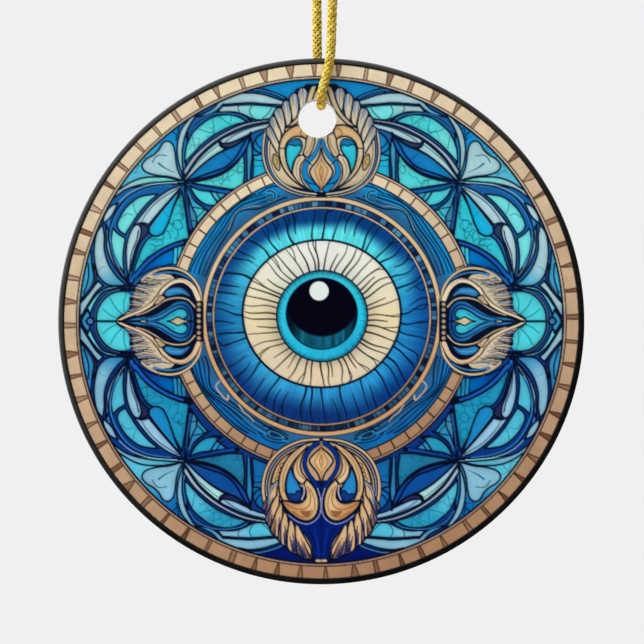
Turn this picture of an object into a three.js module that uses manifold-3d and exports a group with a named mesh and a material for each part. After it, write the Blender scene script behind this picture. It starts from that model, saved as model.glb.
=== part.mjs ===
// Evil eye ornament: a glazed porcelain disc with a printed picture on each face and a dark glazed
// rim, hanging from a loop of thin gold cord that runs through one hole near the disc's top.
// Sizes are in millimetres. +Z is up, the front face looks along -Y, and +X is to a viewer's right.
// The origin is the crotch of the loop, just under the knot, where a hook carries the ornament.

import * as THREE from "three";
import { mergeVertices } from "three/addons/utils/BufferGeometryUtils.js";
import Module from "manifold-3d";

const wasm = await Module();
wasm.setup();

// Driving dimensions of the disc.
const discRadius = 36.5;
const discThickness = 3.5;
const printThickness = 0.1;
const rimRounding = 0.85;
const discDrop = 89.85; // from the crotch of the loop down to the centre of the disc

// The hole for the cord, a little left of the disc's middle line.
const holeRadius = 2.64;
const holeEdge = 0.2; // rounding of the hole's two edges
const holeX = -0.57;
const holeZ = 28.1; // above the disc's centre

// The cord.
const cordDiameter = 1.3;
const sectionSides = 8;
const stepLength = 2.6; // between two rings of the tube
const gap = 0.3; // between two stretches of cord, and between the cord and its knot

// The knot: both ends of the cord tied together, above the crotch.
const knotRadius = 2.6;
const knotEndRadius = 1.5;
const knotBottom = 1.0;
const knotTop = 6.8;

// How finely round shapes are stepped.
const discSteps = 72;
const roundingSteps = 3;
const knotSteps = 16;

// The stretches of one cord, each a list of points down its middle. They run from the knot down
// the right side of the loop to the front face, through the hole, and up the left side again.
const rightBow = [
  [0.72, 0, knotBottom - gap],
  [1.15, 0, -0.7],
  [2.45, 0, -2.5],
  [3.12, 0, -4.3],
  [3.2, 0, -6.0],
];
const frontStrand = [
  [3.2, 0, -6.0 - gap],
  [3.1, -0.3, -11],
  [2.75, -1.1, -20],
  [2.25, -1.95, -32],
  [1.72, -2.5, -42],
  [1.5, -2.6, -47],
  [1.3, -2.6, -52.5],
  [0.85, -2.6, -55.6],
  [0.3, -2.6, -57.6],
];
const bight = [
  [0.2, -2.6, -57.6 - gap],
  [0.06, -2.5, -58.8],
  [0, -2.0, -59.74],
  [0, -1.2, -60.39],
  [0, 0, -60.68],
  [0, 1.2, -60.39],
  [0, 2.0, -59.74],
  [-0.04, 2.5, -58.8],
  [-0.1, 2.6, -57.6 - gap],
];
const rearStrand = [
  [-0.12, 2.6, -57.6],
  [-0.4, 2.6, -55.6],
  [-0.57, 2.6, -52.5],
  [-0.6, 2.6, -47],
  [-0.75, 2.5, -42],
  [-1.3, 1.95, -32],
  [-2.2, 1.1, -20],
  [-3.0, 0.3, -11],
  [-3.2, 0, -6.0 - gap],
];
const leftBow = rightBow.map(([x, y, z]) => [-x, y, z]).reverse();
const leftTail = [
  [-0.72, 0, knotTop + gap],
  [-0.95, 0.1, 8.9],
  [-1.75, 0.35, 11.2],
  [-3.0, 0.7, 13.4],
];
const rightTail = [
  [0.72, 0, knotTop + gap],
  [0.85, -0.1, 9.2],
  [1.3, -0.35, 11.6],
  [2.2, -0.8, 14.2],
];

const glazedWhite = new THREE.MeshStandardMaterial({ color: 0xf3f1ec, roughness: 0.12, metalness: 0 });
const printedBlue = new THREE.MeshStandardMaterial({ color: 0x2f9fc4, roughness: 0.18, metalness: 0 });
const darkGlaze = new THREE.MeshStandardMaterial({ color: 0x16161a, roughness: 0.15, metalness: 0 });
const goldThread = new THREE.MeshStandardMaterial({ color: 0xc9a227, roughness: 0.38, metalness: 0.85 });

const object = new THREE.Group();

function addNode(name, geometry, material, parent = object) {
  const mesh = new THREE.Mesh(geometry, material);
  mesh.name = name;
  parent.add(mesh);
  return mesh;
}

// ---- Cutting ----

function toSolid(geometry) {
  const bare = geometry.clone();
  bare.deleteAttribute("normal");
  bare.deleteAttribute("uv");
  const merged = mergeVertices(bare, 1e-4);
  return new wasm.Manifold(
    new wasm.Mesh({
      numProp: 3,
      vertProperties: merged.attributes.position.array,
      triVerts: new Uint32Array(merged.index.array),
    }),
  );
}

function toGeometry(solid) {
  const { numProp, numVert, vertProperties, triVerts } = solid.getMesh();
  const positions = new Float32Array(numVert * 3);
  for (let i = 0; i < numVert; i++) {
    positions.set(vertProperties.subarray(i * numProp, i * numProp + 3), i * 3);
  }
  const geometry = new THREE.BufferGeometry();
  geometry.setAttribute("position", new THREE.BufferAttribute(positions, 3));
  geometry.setIndex(new THREE.BufferAttribute(triVerts, 1));
  geometry.computeVertexNormals();
  return geometry;
}

// ---- The disc, turned about Y ----

// Points of a quarter circle about (x, y), from one angle to another.
function arc(x, y, radius, fromDegrees, toDegrees) {
  const points = [];
  for (let i = 0; i <= roundingSteps; i++) {
    const angle = THREE.MathUtils.degToRad(fromDegrees + ((toDegrees - fromDegrees) * i) / roundingSteps);
    points.push(new THREE.Vector2(x + radius * Math.cos(angle), y + radius * Math.sin(angle)));
  }
  return points;
}

const halfThickness = discThickness / 2;
const bodyHalf = halfThickness - printThickness;
const flatRadius = discRadius - rimRounding;
const arcCentreY = halfThickness - rimRounding;

// The edge's outline at a depth below the outer surface, from the front face round to the back.
function edgeOutline(depth) {
  const radius = rimRounding - depth;
  return [...arc(flatRadius, -arcCentreY, radius, -90, 0), ...arc(flatRadius, arcCentreY, radius, 0, 90)];
}

function bodyGeometry() {
  const profile = [new THREE.Vector2(0, -bodyHalf), ...edgeOutline(printThickness), new THREE.Vector2(0, bodyHalf)];
  return new THREE.LatheGeometry(profile, discSteps);
}

function rimGeometry() {
  const outer = edgeOutline(0);
  const inner = edgeOutline(printThickness).reverse();
  return new THREE.LatheGeometry([...outer, ...inner, outer[0]], discSteps);
}

function printGeometry(fromY, toY) {
  const profile = [
    new THREE.Vector2(0, fromY),
    new THREE.Vector2(flatRadius, fromY),
    new THREE.Vector2(flatRadius, toY),
    new THREE.Vector2(0, toY),
  ];
  return new THREE.LatheGeometry(profile, discSteps);
}

// What the hole takes away: a straight bore that widens to a rounded edge at each face.
function holeCutter() {
  const past = 1;
  const mouth = holeRadius + holeEdge;
  const profile = [
    new THREE.Vector2(0, -halfThickness - past),
    new THREE.Vector2(mouth, -halfThickness - past),
    ...arc(mouth, -bodyHalf + holeEdge, holeEdge, -90, -180),
    ...arc(mouth, bodyHalf - holeEdge, holeEdge, 180, 90),
    new THREE.Vector2(mouth, halfThickness + past),
    new THREE.Vector2(0, halfThickness + past),
  ];
  const cutter = new THREE.LatheGeometry(profile, discSteps / 2);
  cutter.translate(holeX, 0, holeZ);
  return toSolid(cutter);
}

const disc = new THREE.Group();
disc.position.z = -discDrop;
object.add(disc);

const cutter = holeCutter();
const drilled = (geometry) => toGeometry(toSolid(geometry).subtract(cutter));

addNode("ceramic_disc", drilled(bodyGeometry()), glazedWhite, disc);
addNode("front_print", drilled(printGeometry(-halfThickness, -bodyHalf)), printedBlue, disc);
addNode("back_print", drilled(printGeometry(bodyHalf, halfThickness)), printedBlue, disc);
addNode("rim_glaze", rimGeometry(), darkGlaze, disc);

// ---- The cord ----

function cordSection() {
  const section = new THREE.Shape();
  for (let i = 0; i < sectionSides; i++) {
    const angle = (i * 2 * Math.PI) / sectionSides;
    const x = (cordDiameter / 2) * Math.cos(angle);
    const y = (cordDiameter / 2) * Math.sin(angle);
    if (i === 0) {
      section.moveTo(x, y);
    } else {
      section.lineTo(x, y);
    }
  }
  section.closePath();
  return section;
}

function cordTube(points, step = stepLength) {
  const line = new THREE.CatmullRomCurve3(points.map((p) => new THREE.Vector3(...p)));
  return new THREE.ExtrudeGeometry(cordSection(), {
    extrudePath: line,
    steps: Math.max(3, Math.ceil(line.getLength() / step)),
    bevelEnabled: false,
  });
}

addNode("cord_right_bow", cordTube(rightBow), goldThread);
addNode("cord_front_strand", cordTube(frontStrand), goldThread);
addNode("cord_bight", cordTube(bight, cordDiameter / 2), goldThread);
addNode("cord_rear_strand", cordTube(rearStrand), goldThread);
addNode("cord_left_bow", cordTube(leftBow), goldThread);
addNode("cord_left_tail", cordTube(leftTail), goldThread);
addNode("cord_right_tail", cordTube(rightTail), goldThread);

// The outer shape of the knot, a barrel about Z with a flat end where the strands come out.
function knotGeometry() {
  const rows = 8;
  const height = knotTop - knotBottom;
  const profile = [new THREE.Vector2(0, knotBottom)];
  for (let i = 0; i <= rows; i++) {
    const share = i / rows;
    const bulge = Math.sqrt(Math.sin(Math.PI * share));
    profile.push(
      new THREE.Vector2(knotEndRadius + (knotRadius - knotEndRadius) * bulge, knotBottom + height * share),
    );
  }
  profile.push(new THREE.Vector2(0, knotTop));
  const barrel = new THREE.LatheGeometry(profile, knotSteps);
  barrel.rotateX(Math.PI / 2);
  return barrel;
}

addNode("cord_knot", knotGeometry(), goldThread);

export default object;
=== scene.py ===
"""The looks of the evil eye ornament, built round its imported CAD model.

The picture on the disc is painted in layers on a fine flat grid: the grid's points become the
print's mesh and its colours become a colour attribute. Distances in the picture are in
millimetres from the disc's centre, x to the right and z up, as a viewer in front sees them.
"""

import math

import bpy
import numpy as np
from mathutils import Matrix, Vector


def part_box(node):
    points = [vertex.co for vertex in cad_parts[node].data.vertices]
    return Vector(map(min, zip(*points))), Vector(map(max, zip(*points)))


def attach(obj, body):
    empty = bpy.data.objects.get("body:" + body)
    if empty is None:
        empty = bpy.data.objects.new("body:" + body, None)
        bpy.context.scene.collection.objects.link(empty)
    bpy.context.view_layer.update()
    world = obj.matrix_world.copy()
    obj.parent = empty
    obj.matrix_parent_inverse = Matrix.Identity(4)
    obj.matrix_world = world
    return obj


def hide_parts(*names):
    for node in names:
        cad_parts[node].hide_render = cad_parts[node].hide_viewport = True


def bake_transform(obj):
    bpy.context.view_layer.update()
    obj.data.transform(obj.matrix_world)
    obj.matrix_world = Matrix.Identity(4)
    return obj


MM = 0.001
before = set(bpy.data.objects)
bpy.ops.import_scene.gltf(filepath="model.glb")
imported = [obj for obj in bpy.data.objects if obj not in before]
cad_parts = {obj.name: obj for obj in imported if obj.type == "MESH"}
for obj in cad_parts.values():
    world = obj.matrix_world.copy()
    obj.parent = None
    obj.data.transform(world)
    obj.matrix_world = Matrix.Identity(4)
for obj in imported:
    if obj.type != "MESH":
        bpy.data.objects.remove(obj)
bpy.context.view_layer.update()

# ---- Sizes, from the frame ----

body_low, body_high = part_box("ceramic_disc")
rim_low, rim_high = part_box("rim_glaze")
disc_centre = (rim_low + rim_high) / 2
disc_radius = (rim_high.z - rim_low.z) / 2 / MM
half_thickness = (rim_high.y - rim_low.y) / 2 / MM
rim_rounding = 0.85
print_radius = disc_radius - rim_rounding
hole_place = (-0.57, 28.1)
hole_radius = 2.6
hole_mouth = hole_radius + 0.06

# ---- Camera: straight in front of the disc, 89.5 mm of view at its face ----

VIEW_WIDTH = 89.5
CAMERA_DISTANCE = 0.52
SENSOR = 36.0


def make_camera():
    data = bpy.data.cameras.new("camera")
    data.sensor_width = SENSOR
    data.lens = SENSOR * CAMERA_DISTANCE / (VIEW_WIDTH * MM)
    data.clip_start = 0.05
    data.clip_end = 50
    camera = bpy.data.objects.new("camera", data)
    camera.location = disc_centre + Vector((0.1 * MM, -CAMERA_DISTANCE, -0.1 * MM))
    camera.rotation_euler = (math.radians(90), 0, 0)
    bpy.context.scene.collection.objects.link(camera)
    bpy.context.scene.camera = camera


make_camera()

# ---- Curves ----


def smooth(points, spacing=0.35):
    """A curve through the points, as a dense line: Catmull-Rom pieces in any dimension."""
    p = np.array(points, float)
    if len(p) < 3:
        return p
    padded = np.vstack([2 * p[0] - p[1], p, 2 * p[-1] - p[-2]])
    pieces = []
    for a, b, c, d in zip(padded, padded[1:], padded[2:], padded[3:]):
        count = max(2, math.ceil(np.linalg.norm(c - b) / spacing))
        t = np.linspace(0, 1, count, endpoint=False)[:, None]
        squared = (2 * a - 5 * b + 4 * c - d) * t**2
        cubed = (3 * b - a - 3 * c + d) * t**3
        pieces.append(0.5 * (2 * b + (c - a) * t + squared + cubed))
    return np.vstack([*pieces, p[-1:]])


def evenly(line, step):
    """The line again, with points about a step apart."""
    along = np.concatenate([[0], np.cumsum(np.linalg.norm(np.diff(line, axis=0), axis=1))])
    at = np.linspace(0, along[-1], max(2, round(along[-1] / step) + 1))
    return np.stack([np.interp(at, along, line[:, k]) for k in range(line.shape[1])], axis=1)


def ring_points(centre, radius, start, stop, count=24):
    """Points of an arc in the picture, from one angle to another in degrees."""
    angles = np.radians(np.linspace(start, stop, count))
    return np.stack([centre[0] + radius * np.cos(angles), centre[1] + radius * np.sin(angles)], axis=1)


# ---- The cord ----

# The route of the cord below its knot, as in part.mjs, in millimetres: down the right side of the
# loop to the front face,
# through the hole, and up the left side.
LOOP_ROUTE = [(1.15, 0, -0.9), (2.45, 0, -2.5), (3.12, 0, -4.3), (3.2, 0, -6.15), (3.1, -0.3, -11), (2.75,
    -1.1, -20), (2.25, -1.95, -32), (1.72, -2.5, -42), (1.5, -2.6, -47), (1.3, -2.6, -52.5), (0.85, -2.6,
    -55.4), (0.3, -2.55, -57.2), (0.06, -2.4, -58.4), (0, -1.95, -59.2), (0, -1.2, -59.7), (0, 0, -59.88),
    (0, 1.2, -59.7), (0, 1.95, -59.2), (-0.04, 2.4, -58.4), (-0.15, 2.55, -57.2), (-0.4, 2.6, -55.4),
    (-0.57, 2.6, -52.5), (-0.6, 2.6, -47), (-0.75, 2.5, -42), (-1.3, 1.95, -32), (-2.2, 1.1, -20), (-3.0,
    0.3, -11), (-3.2, 0, -6.15), (-3.12, 0, -4.3), (-2.45, 0, -2.5), (-1.15, 0, -0.9)]
LEFT_TAIL = [(-0.3, -0.1, 7.6), (-0.7, 0, 9.5), (-1.3, 0.2, 11.5), (-2.0, 0.4, 13.4)]
RIGHT_TAIL = [(2.2, 0.7, 7.6), (2.2, 0.5, 9.5), (2.5, 0.1, 12), (2.9, -0.4, 14.2)]
KNOT_MIDDLE = (0.2, -0.4, 3.9)
KNOT_STEP = 0.5
KNOT_REACH = 2.2  # how far above and below its middle the strands still belong to the knot
STRAND_GAP = 1.36  # between the middles of two strands pressed together
PULL = 0.3
LINE_STEP = 0.2  # between the points of the finished line
EASING_ROUNDS = 10  # how often the finished line is eased, which rounds off its joins


def loose_knot(side):
    """One of the two strands through a wide overhand knot, before it is pulled tight.

    The middle of the pair follows a scaled long trefoil: x = t3 - 3t, y = t4 - 4t2, z = t5 - 10t.
    """
    t = np.linspace(-2.1, 2.1, 121)
    middle = np.stack([1.5 * (t**3 - 3 * t), 1.5 * (t**4 - 4 * t**2 + 2), 0.42 * (t**5 - 10 * t)], axis=1)
    along = np.gradient(middle, axis=0)
    along /= np.linalg.norm(along, axis=1, keepdims=True)
    across = np.array([[1, 0.35, 0]]) - along * (along @ np.array([1, 0.35, 0]))[:, None]
    across /= np.linalg.norm(across, axis=1, keepdims=True)
    body = middle + side * 0.7 * across
    return evenly(np.vstack([[[0.72 * side, 0, -12]], body, [[0.72 * side, 0, 12]]]), KNOT_STEP)


def tight_knot(rounds=400):
    """Both strands of the knot, shortened while they press apart where they touch."""
    strands = [loose_knot(1), loose_knot(-1)]
    for count in range(rounds):
        if count % 4 == 0:
            strands = [evenly(strand, KNOT_STEP) for strand in strands]
            first = len(strands[0])
            order = np.concatenate([np.arange(len(strand)) for strand in strands])
            owner = np.arange(len(order)) >= first
            others = (owner[:, None] != owner) | (np.abs(order[:, None] - order) * KNOT_STEP > 3)
        points = np.vstack(strands)
        for _ in range(3):
            gap = points[:, None] - points
            away = np.sqrt((gap**2).sum(-1))
            touching = others & (away < STRAND_GAP)
            push = np.where(touching, (STRAND_GAP - away) / np.maximum(away, 1e-6), 0)
            shares = np.sqrt(np.maximum(touching.sum(1), 1))[:, None]
            points = points + 0.5 * (gap * push[..., None]).sum(1) / shares
        strands = [points[:first], points[first:]]
        for strand in strands:
            strand[0, 2], strand[-1, 2] = -12, 12
            strand[1:-1] += PULL * ((strand[2:] + strand[:-2]) / 2 - strand[1:-1])
    return strands


def cord_line():
    right, left = (strand[np.abs(strand[:, 2]) < KNOT_REACH] + KNOT_MIDDLE for strand in tight_knot())
    whole = [*RIGHT_TAIL[::-1], *right[::-2], *LOOP_ROUTE, *left[::2], *LEFT_TAIL]
    line = evenly(smooth(whole, LINE_STEP), LINE_STEP)
    for _ in range(EASING_ROUNDS):
        line[1:-1] += 0.25 * (line[2:] + line[:-2] - 2 * line[1:-1])
    return evenly(line, LINE_STEP)


def frames_along(line):
    """Two directions across the line at each of its points, with no needless twist."""
    along = np.gradient(line, axis=0)
    along /= np.linalg.norm(along, axis=1, keepdims=True)
    first = np.cross(along[0], [0.3, 1, 0.2])
    normals = [first / np.linalg.norm(first)]
    for tangent in along[1:]:
        carried = normals[-1] - tangent * (normals[-1] @ tangent)
        normals.append(carried / np.linalg.norm(carried))
    normals = np.array(normals)
    return normals, np.cross(along, normals)


def tube(line, radius, sides, first_vertex):
    """Vertices and faces of a closed tube along a line; radius may differ from point to point."""
    u, v = frames_along(line)
    angles = np.linspace(0, 2 * math.pi, sides, endpoint=False)
    radius = np.broadcast_to(radius, (len(line),))[:, None, None]
    rings = line[:, None] + radius * (np.cos(angles)[None, :, None] * u[:, None] + np.sin(angles)[None, :,
        None] * v[:, None])
    index = first_vertex + np.arange(len(line) * sides).reshape(len(line), sides)
    around = np.roll(index, -1, axis=1)
    faces = np.stack([index[:-1], around[:-1], around[1:], index[1:]], axis=-1).reshape(-1, 4).tolist()
    faces += [index[0, ::-1].tolist(), index[-1].tolist()]
    return rings.reshape(-1, 3), faces


def new_object(name, vertices, faces, material, shade_smooth=True):
    mesh = bpy.data.meshes.new(name)
    mesh.from_pydata(np.asarray(vertices).tolist(), [], faces)
    mesh.polygons.foreach_set("use_smooth", [shade_smooth] * len(mesh.polygons))
    mesh.materials.append(material)
    mesh.update()
    made = bpy.data.objects.new(name, mesh)
    bpy.context.scene.collection.objects.link(made)
    return made


BRAID_YARNS = 5  # yarns that wind each way round the cord
BRAID_PITCH = 3.6
YARN_RADIUS = 0.19
CORE_RADIUS = 0.52


def make_cord(material):
    line = cord_line()
    u, v = frames_along(line)
    along = np.concatenate([[0], np.cumsum(np.linalg.norm(np.diff(line, axis=0), axis=1))])
    core, faces = tube(line, CORE_RADIUS, 8, 0)
    vertices = [core]
    # Painted shade, stored in the colour attribute "height": the core, seen only in the gaps between the
    # yarns, is darkened to half, and each yarn darkens where it passes under the yarns that cross it.
    painted_shades = [np.full(len(core), 0.5)]
    total = len(core)
    sides = 6
    for turn in (1, -1):
        for k in range(BRAID_YARNS):
            angle = turn * 2 * math.pi * along / BRAID_PITCH + 2 * math.pi * k / BRAID_YARNS
            phase = math.pi * k + (turn < 0) * math.pi
            over = np.cos(BRAID_YARNS * 2 * math.pi * along / BRAID_PITCH + phase)
            reach = 0.49 + 0.05 * over
            centre = line + reach[:, None] * (np.cos(angle)[:, None] * u + np.sin(angle)[:, None] * v)
            part, part_faces = tube(centre, YARN_RADIUS, sides, total)
            vertices.append(part)
            painted_shades.append(np.repeat(0.78 + 0.22 * over, sides))
            faces += part_faces
            total += len(part)
    cord = new_object("gold_cord", np.vstack(vertices) * MM, faces, material)
    shade = np.clip(np.concatenate(painted_shades), 0, 1)
    colours = np.ones((total, 4), np.float32)
    colours[:, :3] = shade[:, None]
    # The attribute named "height" holds this painted shade, not a height.
    attribute = cord.data.color_attributes.new("height", "FLOAT_COLOR", "POINT")
    attribute.data.foreach_set("color", colours.ravel())
    return cord, line


# ---- Materials ----


def new_material(name):
    material = bpy.data.materials.new(name)
    material.use_nodes = True
    nodes = material.node_tree.nodes
    return material, nodes, material.node_tree.links, nodes["Principled BSDF"]


def object_noise(nodes, links, scale, detail=3.0, roughness=0.55):
    coordinate = nodes.new("ShaderNodeTexCoord")
    noise = nodes.new("ShaderNodeTexNoise")
    noise.inputs["Scale"].default_value = scale
    noise.inputs["Detail"].default_value = detail
    noise.inputs["Roughness"].default_value = roughness
    links.new(coordinate.outputs["Object"], noise.inputs["Vector"])
    return noise


def ramp(nodes, links, source, stops):
    node = nodes.new("ShaderNodeValToRGB")
    while len(node.color_ramp.elements) < len(stops):
        node.color_ramp.elements.new(0.5)
    for element, (position, colour) in zip(node.color_ramp.elements, stops):
        element.position = position
        element.color = (*colour, 1)
    links.new(source, node.inputs["Fac"])
    return node


def add_bump(nodes, links, shader, height, strength, distance):
    bump = nodes.new("ShaderNodeBump")
    bump.inputs["Strength"].default_value = strength
    bump.inputs["Distance"].default_value = distance
    links.new(height, bump.inputs["Height"])
    links.new(bump.outputs["Normal"], shader.inputs["Normal"])


def gold_material():
    """Metallic yarn with bright and dull filaments, and painted shade between and under the strands."""
    material, nodes, links, shader = new_material("gold_yarn")
    broad = object_noise(nodes, links, 1500, 2)
    colours = ramp(nodes, links, broad.outputs["Fac"], [(0.3, (0.45, 0.275, 0.012)), (0.5, (0.82, 0.57,
        0.055)), (0.7, (1.0, 0.83, 0.25))])
    # The cord's painted shade, read from its "height" attribute, darkens the base colour between and under
    # the yarns.
    height = nodes.new("ShaderNodeVertexColor")
    height.layer_name = "height"
    mixed = nodes.new("ShaderNodeMix")
    mixed.data_type = "RGBA"
    mixed.blend_type = "MULTIPLY"
    mixed.inputs["Factor"].default_value = 1
    links.new(colours.outputs["Color"], mixed.inputs["A"])
    links.new(height.outputs["Color"], mixed.inputs["B"])
    links.new(mixed.outputs["Result"], shader.inputs["Base Color"])
    sparkle = object_noise(nodes, links, 6000, 1)
    rough = ramp(nodes, links, sparkle.outputs["Fac"], [(0.35, (0.3,) * 3), (0.65, (0.5,) * 3)])
    links.new(rough.outputs["Color"], shader.inputs["Roughness"])
    shader.inputs["Metallic"].default_value = 0.35
    add_bump(nodes, links, shader, sparkle.outputs["Fac"], 0.4, 0.00003)
    return material


def print_material():
    """The printed picture under a clear gloss, with the glaze's faint waviness."""
    material, nodes, links, shader = new_material("printed_picture")
    picture = nodes.new("ShaderNodeVertexColor")
    picture.layer_name = "picture"
    grain = object_noise(nodes, links, 700, 4)
    grain_tone = ramp(nodes, links, grain.outputs["Fac"], [(0.25, (0.94,) * 3), (0.75, (1.0,) * 3)])
    mixed = nodes.new("ShaderNodeMix")
    mixed.data_type = "RGBA"
    mixed.blend_type = "MULTIPLY"
    mixed.inputs["Factor"].default_value = 1
    links.new(picture.outputs["Color"], mixed.inputs["A"])
    links.new(grain_tone.outputs["Color"], mixed.inputs["B"])
    links.new(mixed.outputs["Result"], shader.inputs["Base Color"])
    wave = object_noise(nodes, links, 140, 1)
    rough = ramp(nodes, links, wave.outputs["Fac"], [(0.3, (0.10,) * 3), (0.7, (0.16,) * 3)])
    links.new(rough.outputs["Color"], shader.inputs["Roughness"])
    shader.inputs["Specular IOR Level"].default_value = 0.4
    add_bump(nodes, links, shader, wave.outputs["Fac"], 0.12, 0.0002)
    return material


def rim_material():
    """Near-black glaze over the rounded edge, thinner and browner in places."""
    material, nodes, links, shader = new_material("dark_rim_glaze")
    patches = object_noise(nodes, links, 260, 3)
    tone = ramp(nodes, links, patches.outputs["Fac"], [(0.3, (0.002, 0.002, 0.002)), (0.75, (0.008, 0.007,
        0.006))])
    links.new(tone.outputs["Color"], shader.inputs["Base Color"])
    rough = ramp(nodes, links, patches.outputs["Fac"], [(0.3, (0.16,) * 3), (0.7, (0.26,) * 3)])
    links.new(rough.outputs["Color"], shader.inputs["Roughness"])
    shader.inputs["Specular IOR Level"].default_value = 0.24
    add_bump(nodes, links, shader, patches.outputs["Fac"], 0.15, 0.0001)
    return material


def porcelain_material():
    """White glazed porcelain, seen in the wall of the hole."""
    material, nodes, links, shader = new_material("white_porcelain")
    clouds = object_noise(nodes, links, 320, 3)
    tone = ramp(nodes, links, clouds.outputs["Fac"], [(0.3, (0.78, 0.77, 0.73)), (0.7, (0.88, 0.87, 0.84))])
    links.new(tone.outputs["Color"], shader.inputs["Base Color"])
    rough = ramp(nodes, links, clouds.outputs["Fac"], [(0.3, (0.14,) * 3), (0.7, (0.24,) * 3)])
    links.new(rough.outputs["Color"], shader.inputs["Roughness"])
    return material


# ---- The picture: colours ----

# Each colour is given as it looks at the top of the disc and at the bottom, as 8-bit sRGB.
COLOURS = {"ink": ((8, 18, 40), (4, 10, 32)), "gap": ((24, 90, 152), (8, 50, 118)), "navy": ((14, 48,
    100), (2, 20, 86)), "deep": ((4, 86, 160), (4, 54, 134)), "royal": ((16, 102, 184), (12, 66, 150)),
    "blue": ((18, 132, 194), (14, 98, 164)), "sky": ((60, 160, 200), (44, 130, 184)), "cyan": ((74, 208,
    216), (38, 148, 184)), "aqua": ((112, 220, 220), (76, 180, 206)), "pale": ((164, 204, 211), (126, 180,
    204)), "ice": ((176, 212, 220), (144, 190, 218)), "teal": ((82, 212, 216), (30, 116, 156)),
    "lagoon": ((48, 192, 208), (28, 142, 182)), "drop": ((22, 174, 218), (22, 132, 192)), "lens": ((20,
    124, 186), (12, 74, 146)), "bay": ((37, 178, 212), (17, 100, 160)), "arc": ((0, 116, 194), (0, 92,
    166)), "steel": ((66, 100, 142), (46, 64, 112)), "slate": ((44, 60, 96), (34, 40, 84)),
    "cream": ((226, 209, 176), (214, 180, 142)), "gold": ((212, 184, 140), (196, 152, 106)), "tan": ((198,
    172, 142), (162, 126, 98)), "brown": ((128, 94, 68), (100, 66, 46))}


def smoothstep(low, high, value):
    t = np.clip((value - low) / (high - low), 0, 1)
    return t * t * (3 - 2 * t)


def to_linear(srgb):
    s = srgb / 255
    return np.where(s <= 0.04045, s / 12.92, ((s + 0.055) / 1.055) ** 2.4)


def value_noise(x, z, size, seed):
    """Smooth noise from 0 to 1 with features of about the given size."""
    table = np.random.default_rng(seed).random((128, 128))
    u = x / size + 37.3
    v = z / size + 51.7
    i = np.floor(u).astype(int)
    j = np.floor(v).astype(int)
    fu = smoothstep(0, 1, u - i)
    fv = smoothstep(0, 1, v - j)
    at = lambda a, b: table[a % 128, b % 128]
    low = at(i, j) * (1 - fu) + at(i + 1, j) * fu
    high = at(i, j + 1) * (1 - fu) + at(i + 1, j + 1) * fu
    return low * (1 - fv) + high * fv


def crack_lines(x, z, size, width, spacing):
    """Where thin broken lines run between rounded pebbles of about the given size, from 0 to 1."""
    spots = np.random.default_rng(4).random((96, 96, 2)) * 0.8 + 0.1
    i = np.floor(x / size).astype(int)
    j = np.floor(z / size).astype(int)
    first = np.full(x.shape, 9.0)
    second = np.full(x.shape, 9.0)
    for a in range(-2, 3):
        for b in range(-2, 3):
            spot = spots[(i + a) % 96, (j + b) % 96]
            away = np.hypot(i + a + spot[..., 0] - x / size, j + b + spot[..., 1] - z / size)
            second = np.where(away < first, first, np.minimum(second, away))
            first = np.minimum(first, away)
    line = np.clip(0.5 + (width - (second - first) * size / 2) / spacing, 0, 1)
    return line * smoothstep(0.42, 0.56, value_noise(x, z, 1.6, 6))


# ---- The picture: painting ----

MIRRORS = {"all": [(1, 1), (-1, 1), (1, -1), (-1, -1)], "top": [(1, 1), (-1, 1)], "bottom": [(1, -1), (-1,
    -1)], "once": [(1, 1)]}


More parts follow.
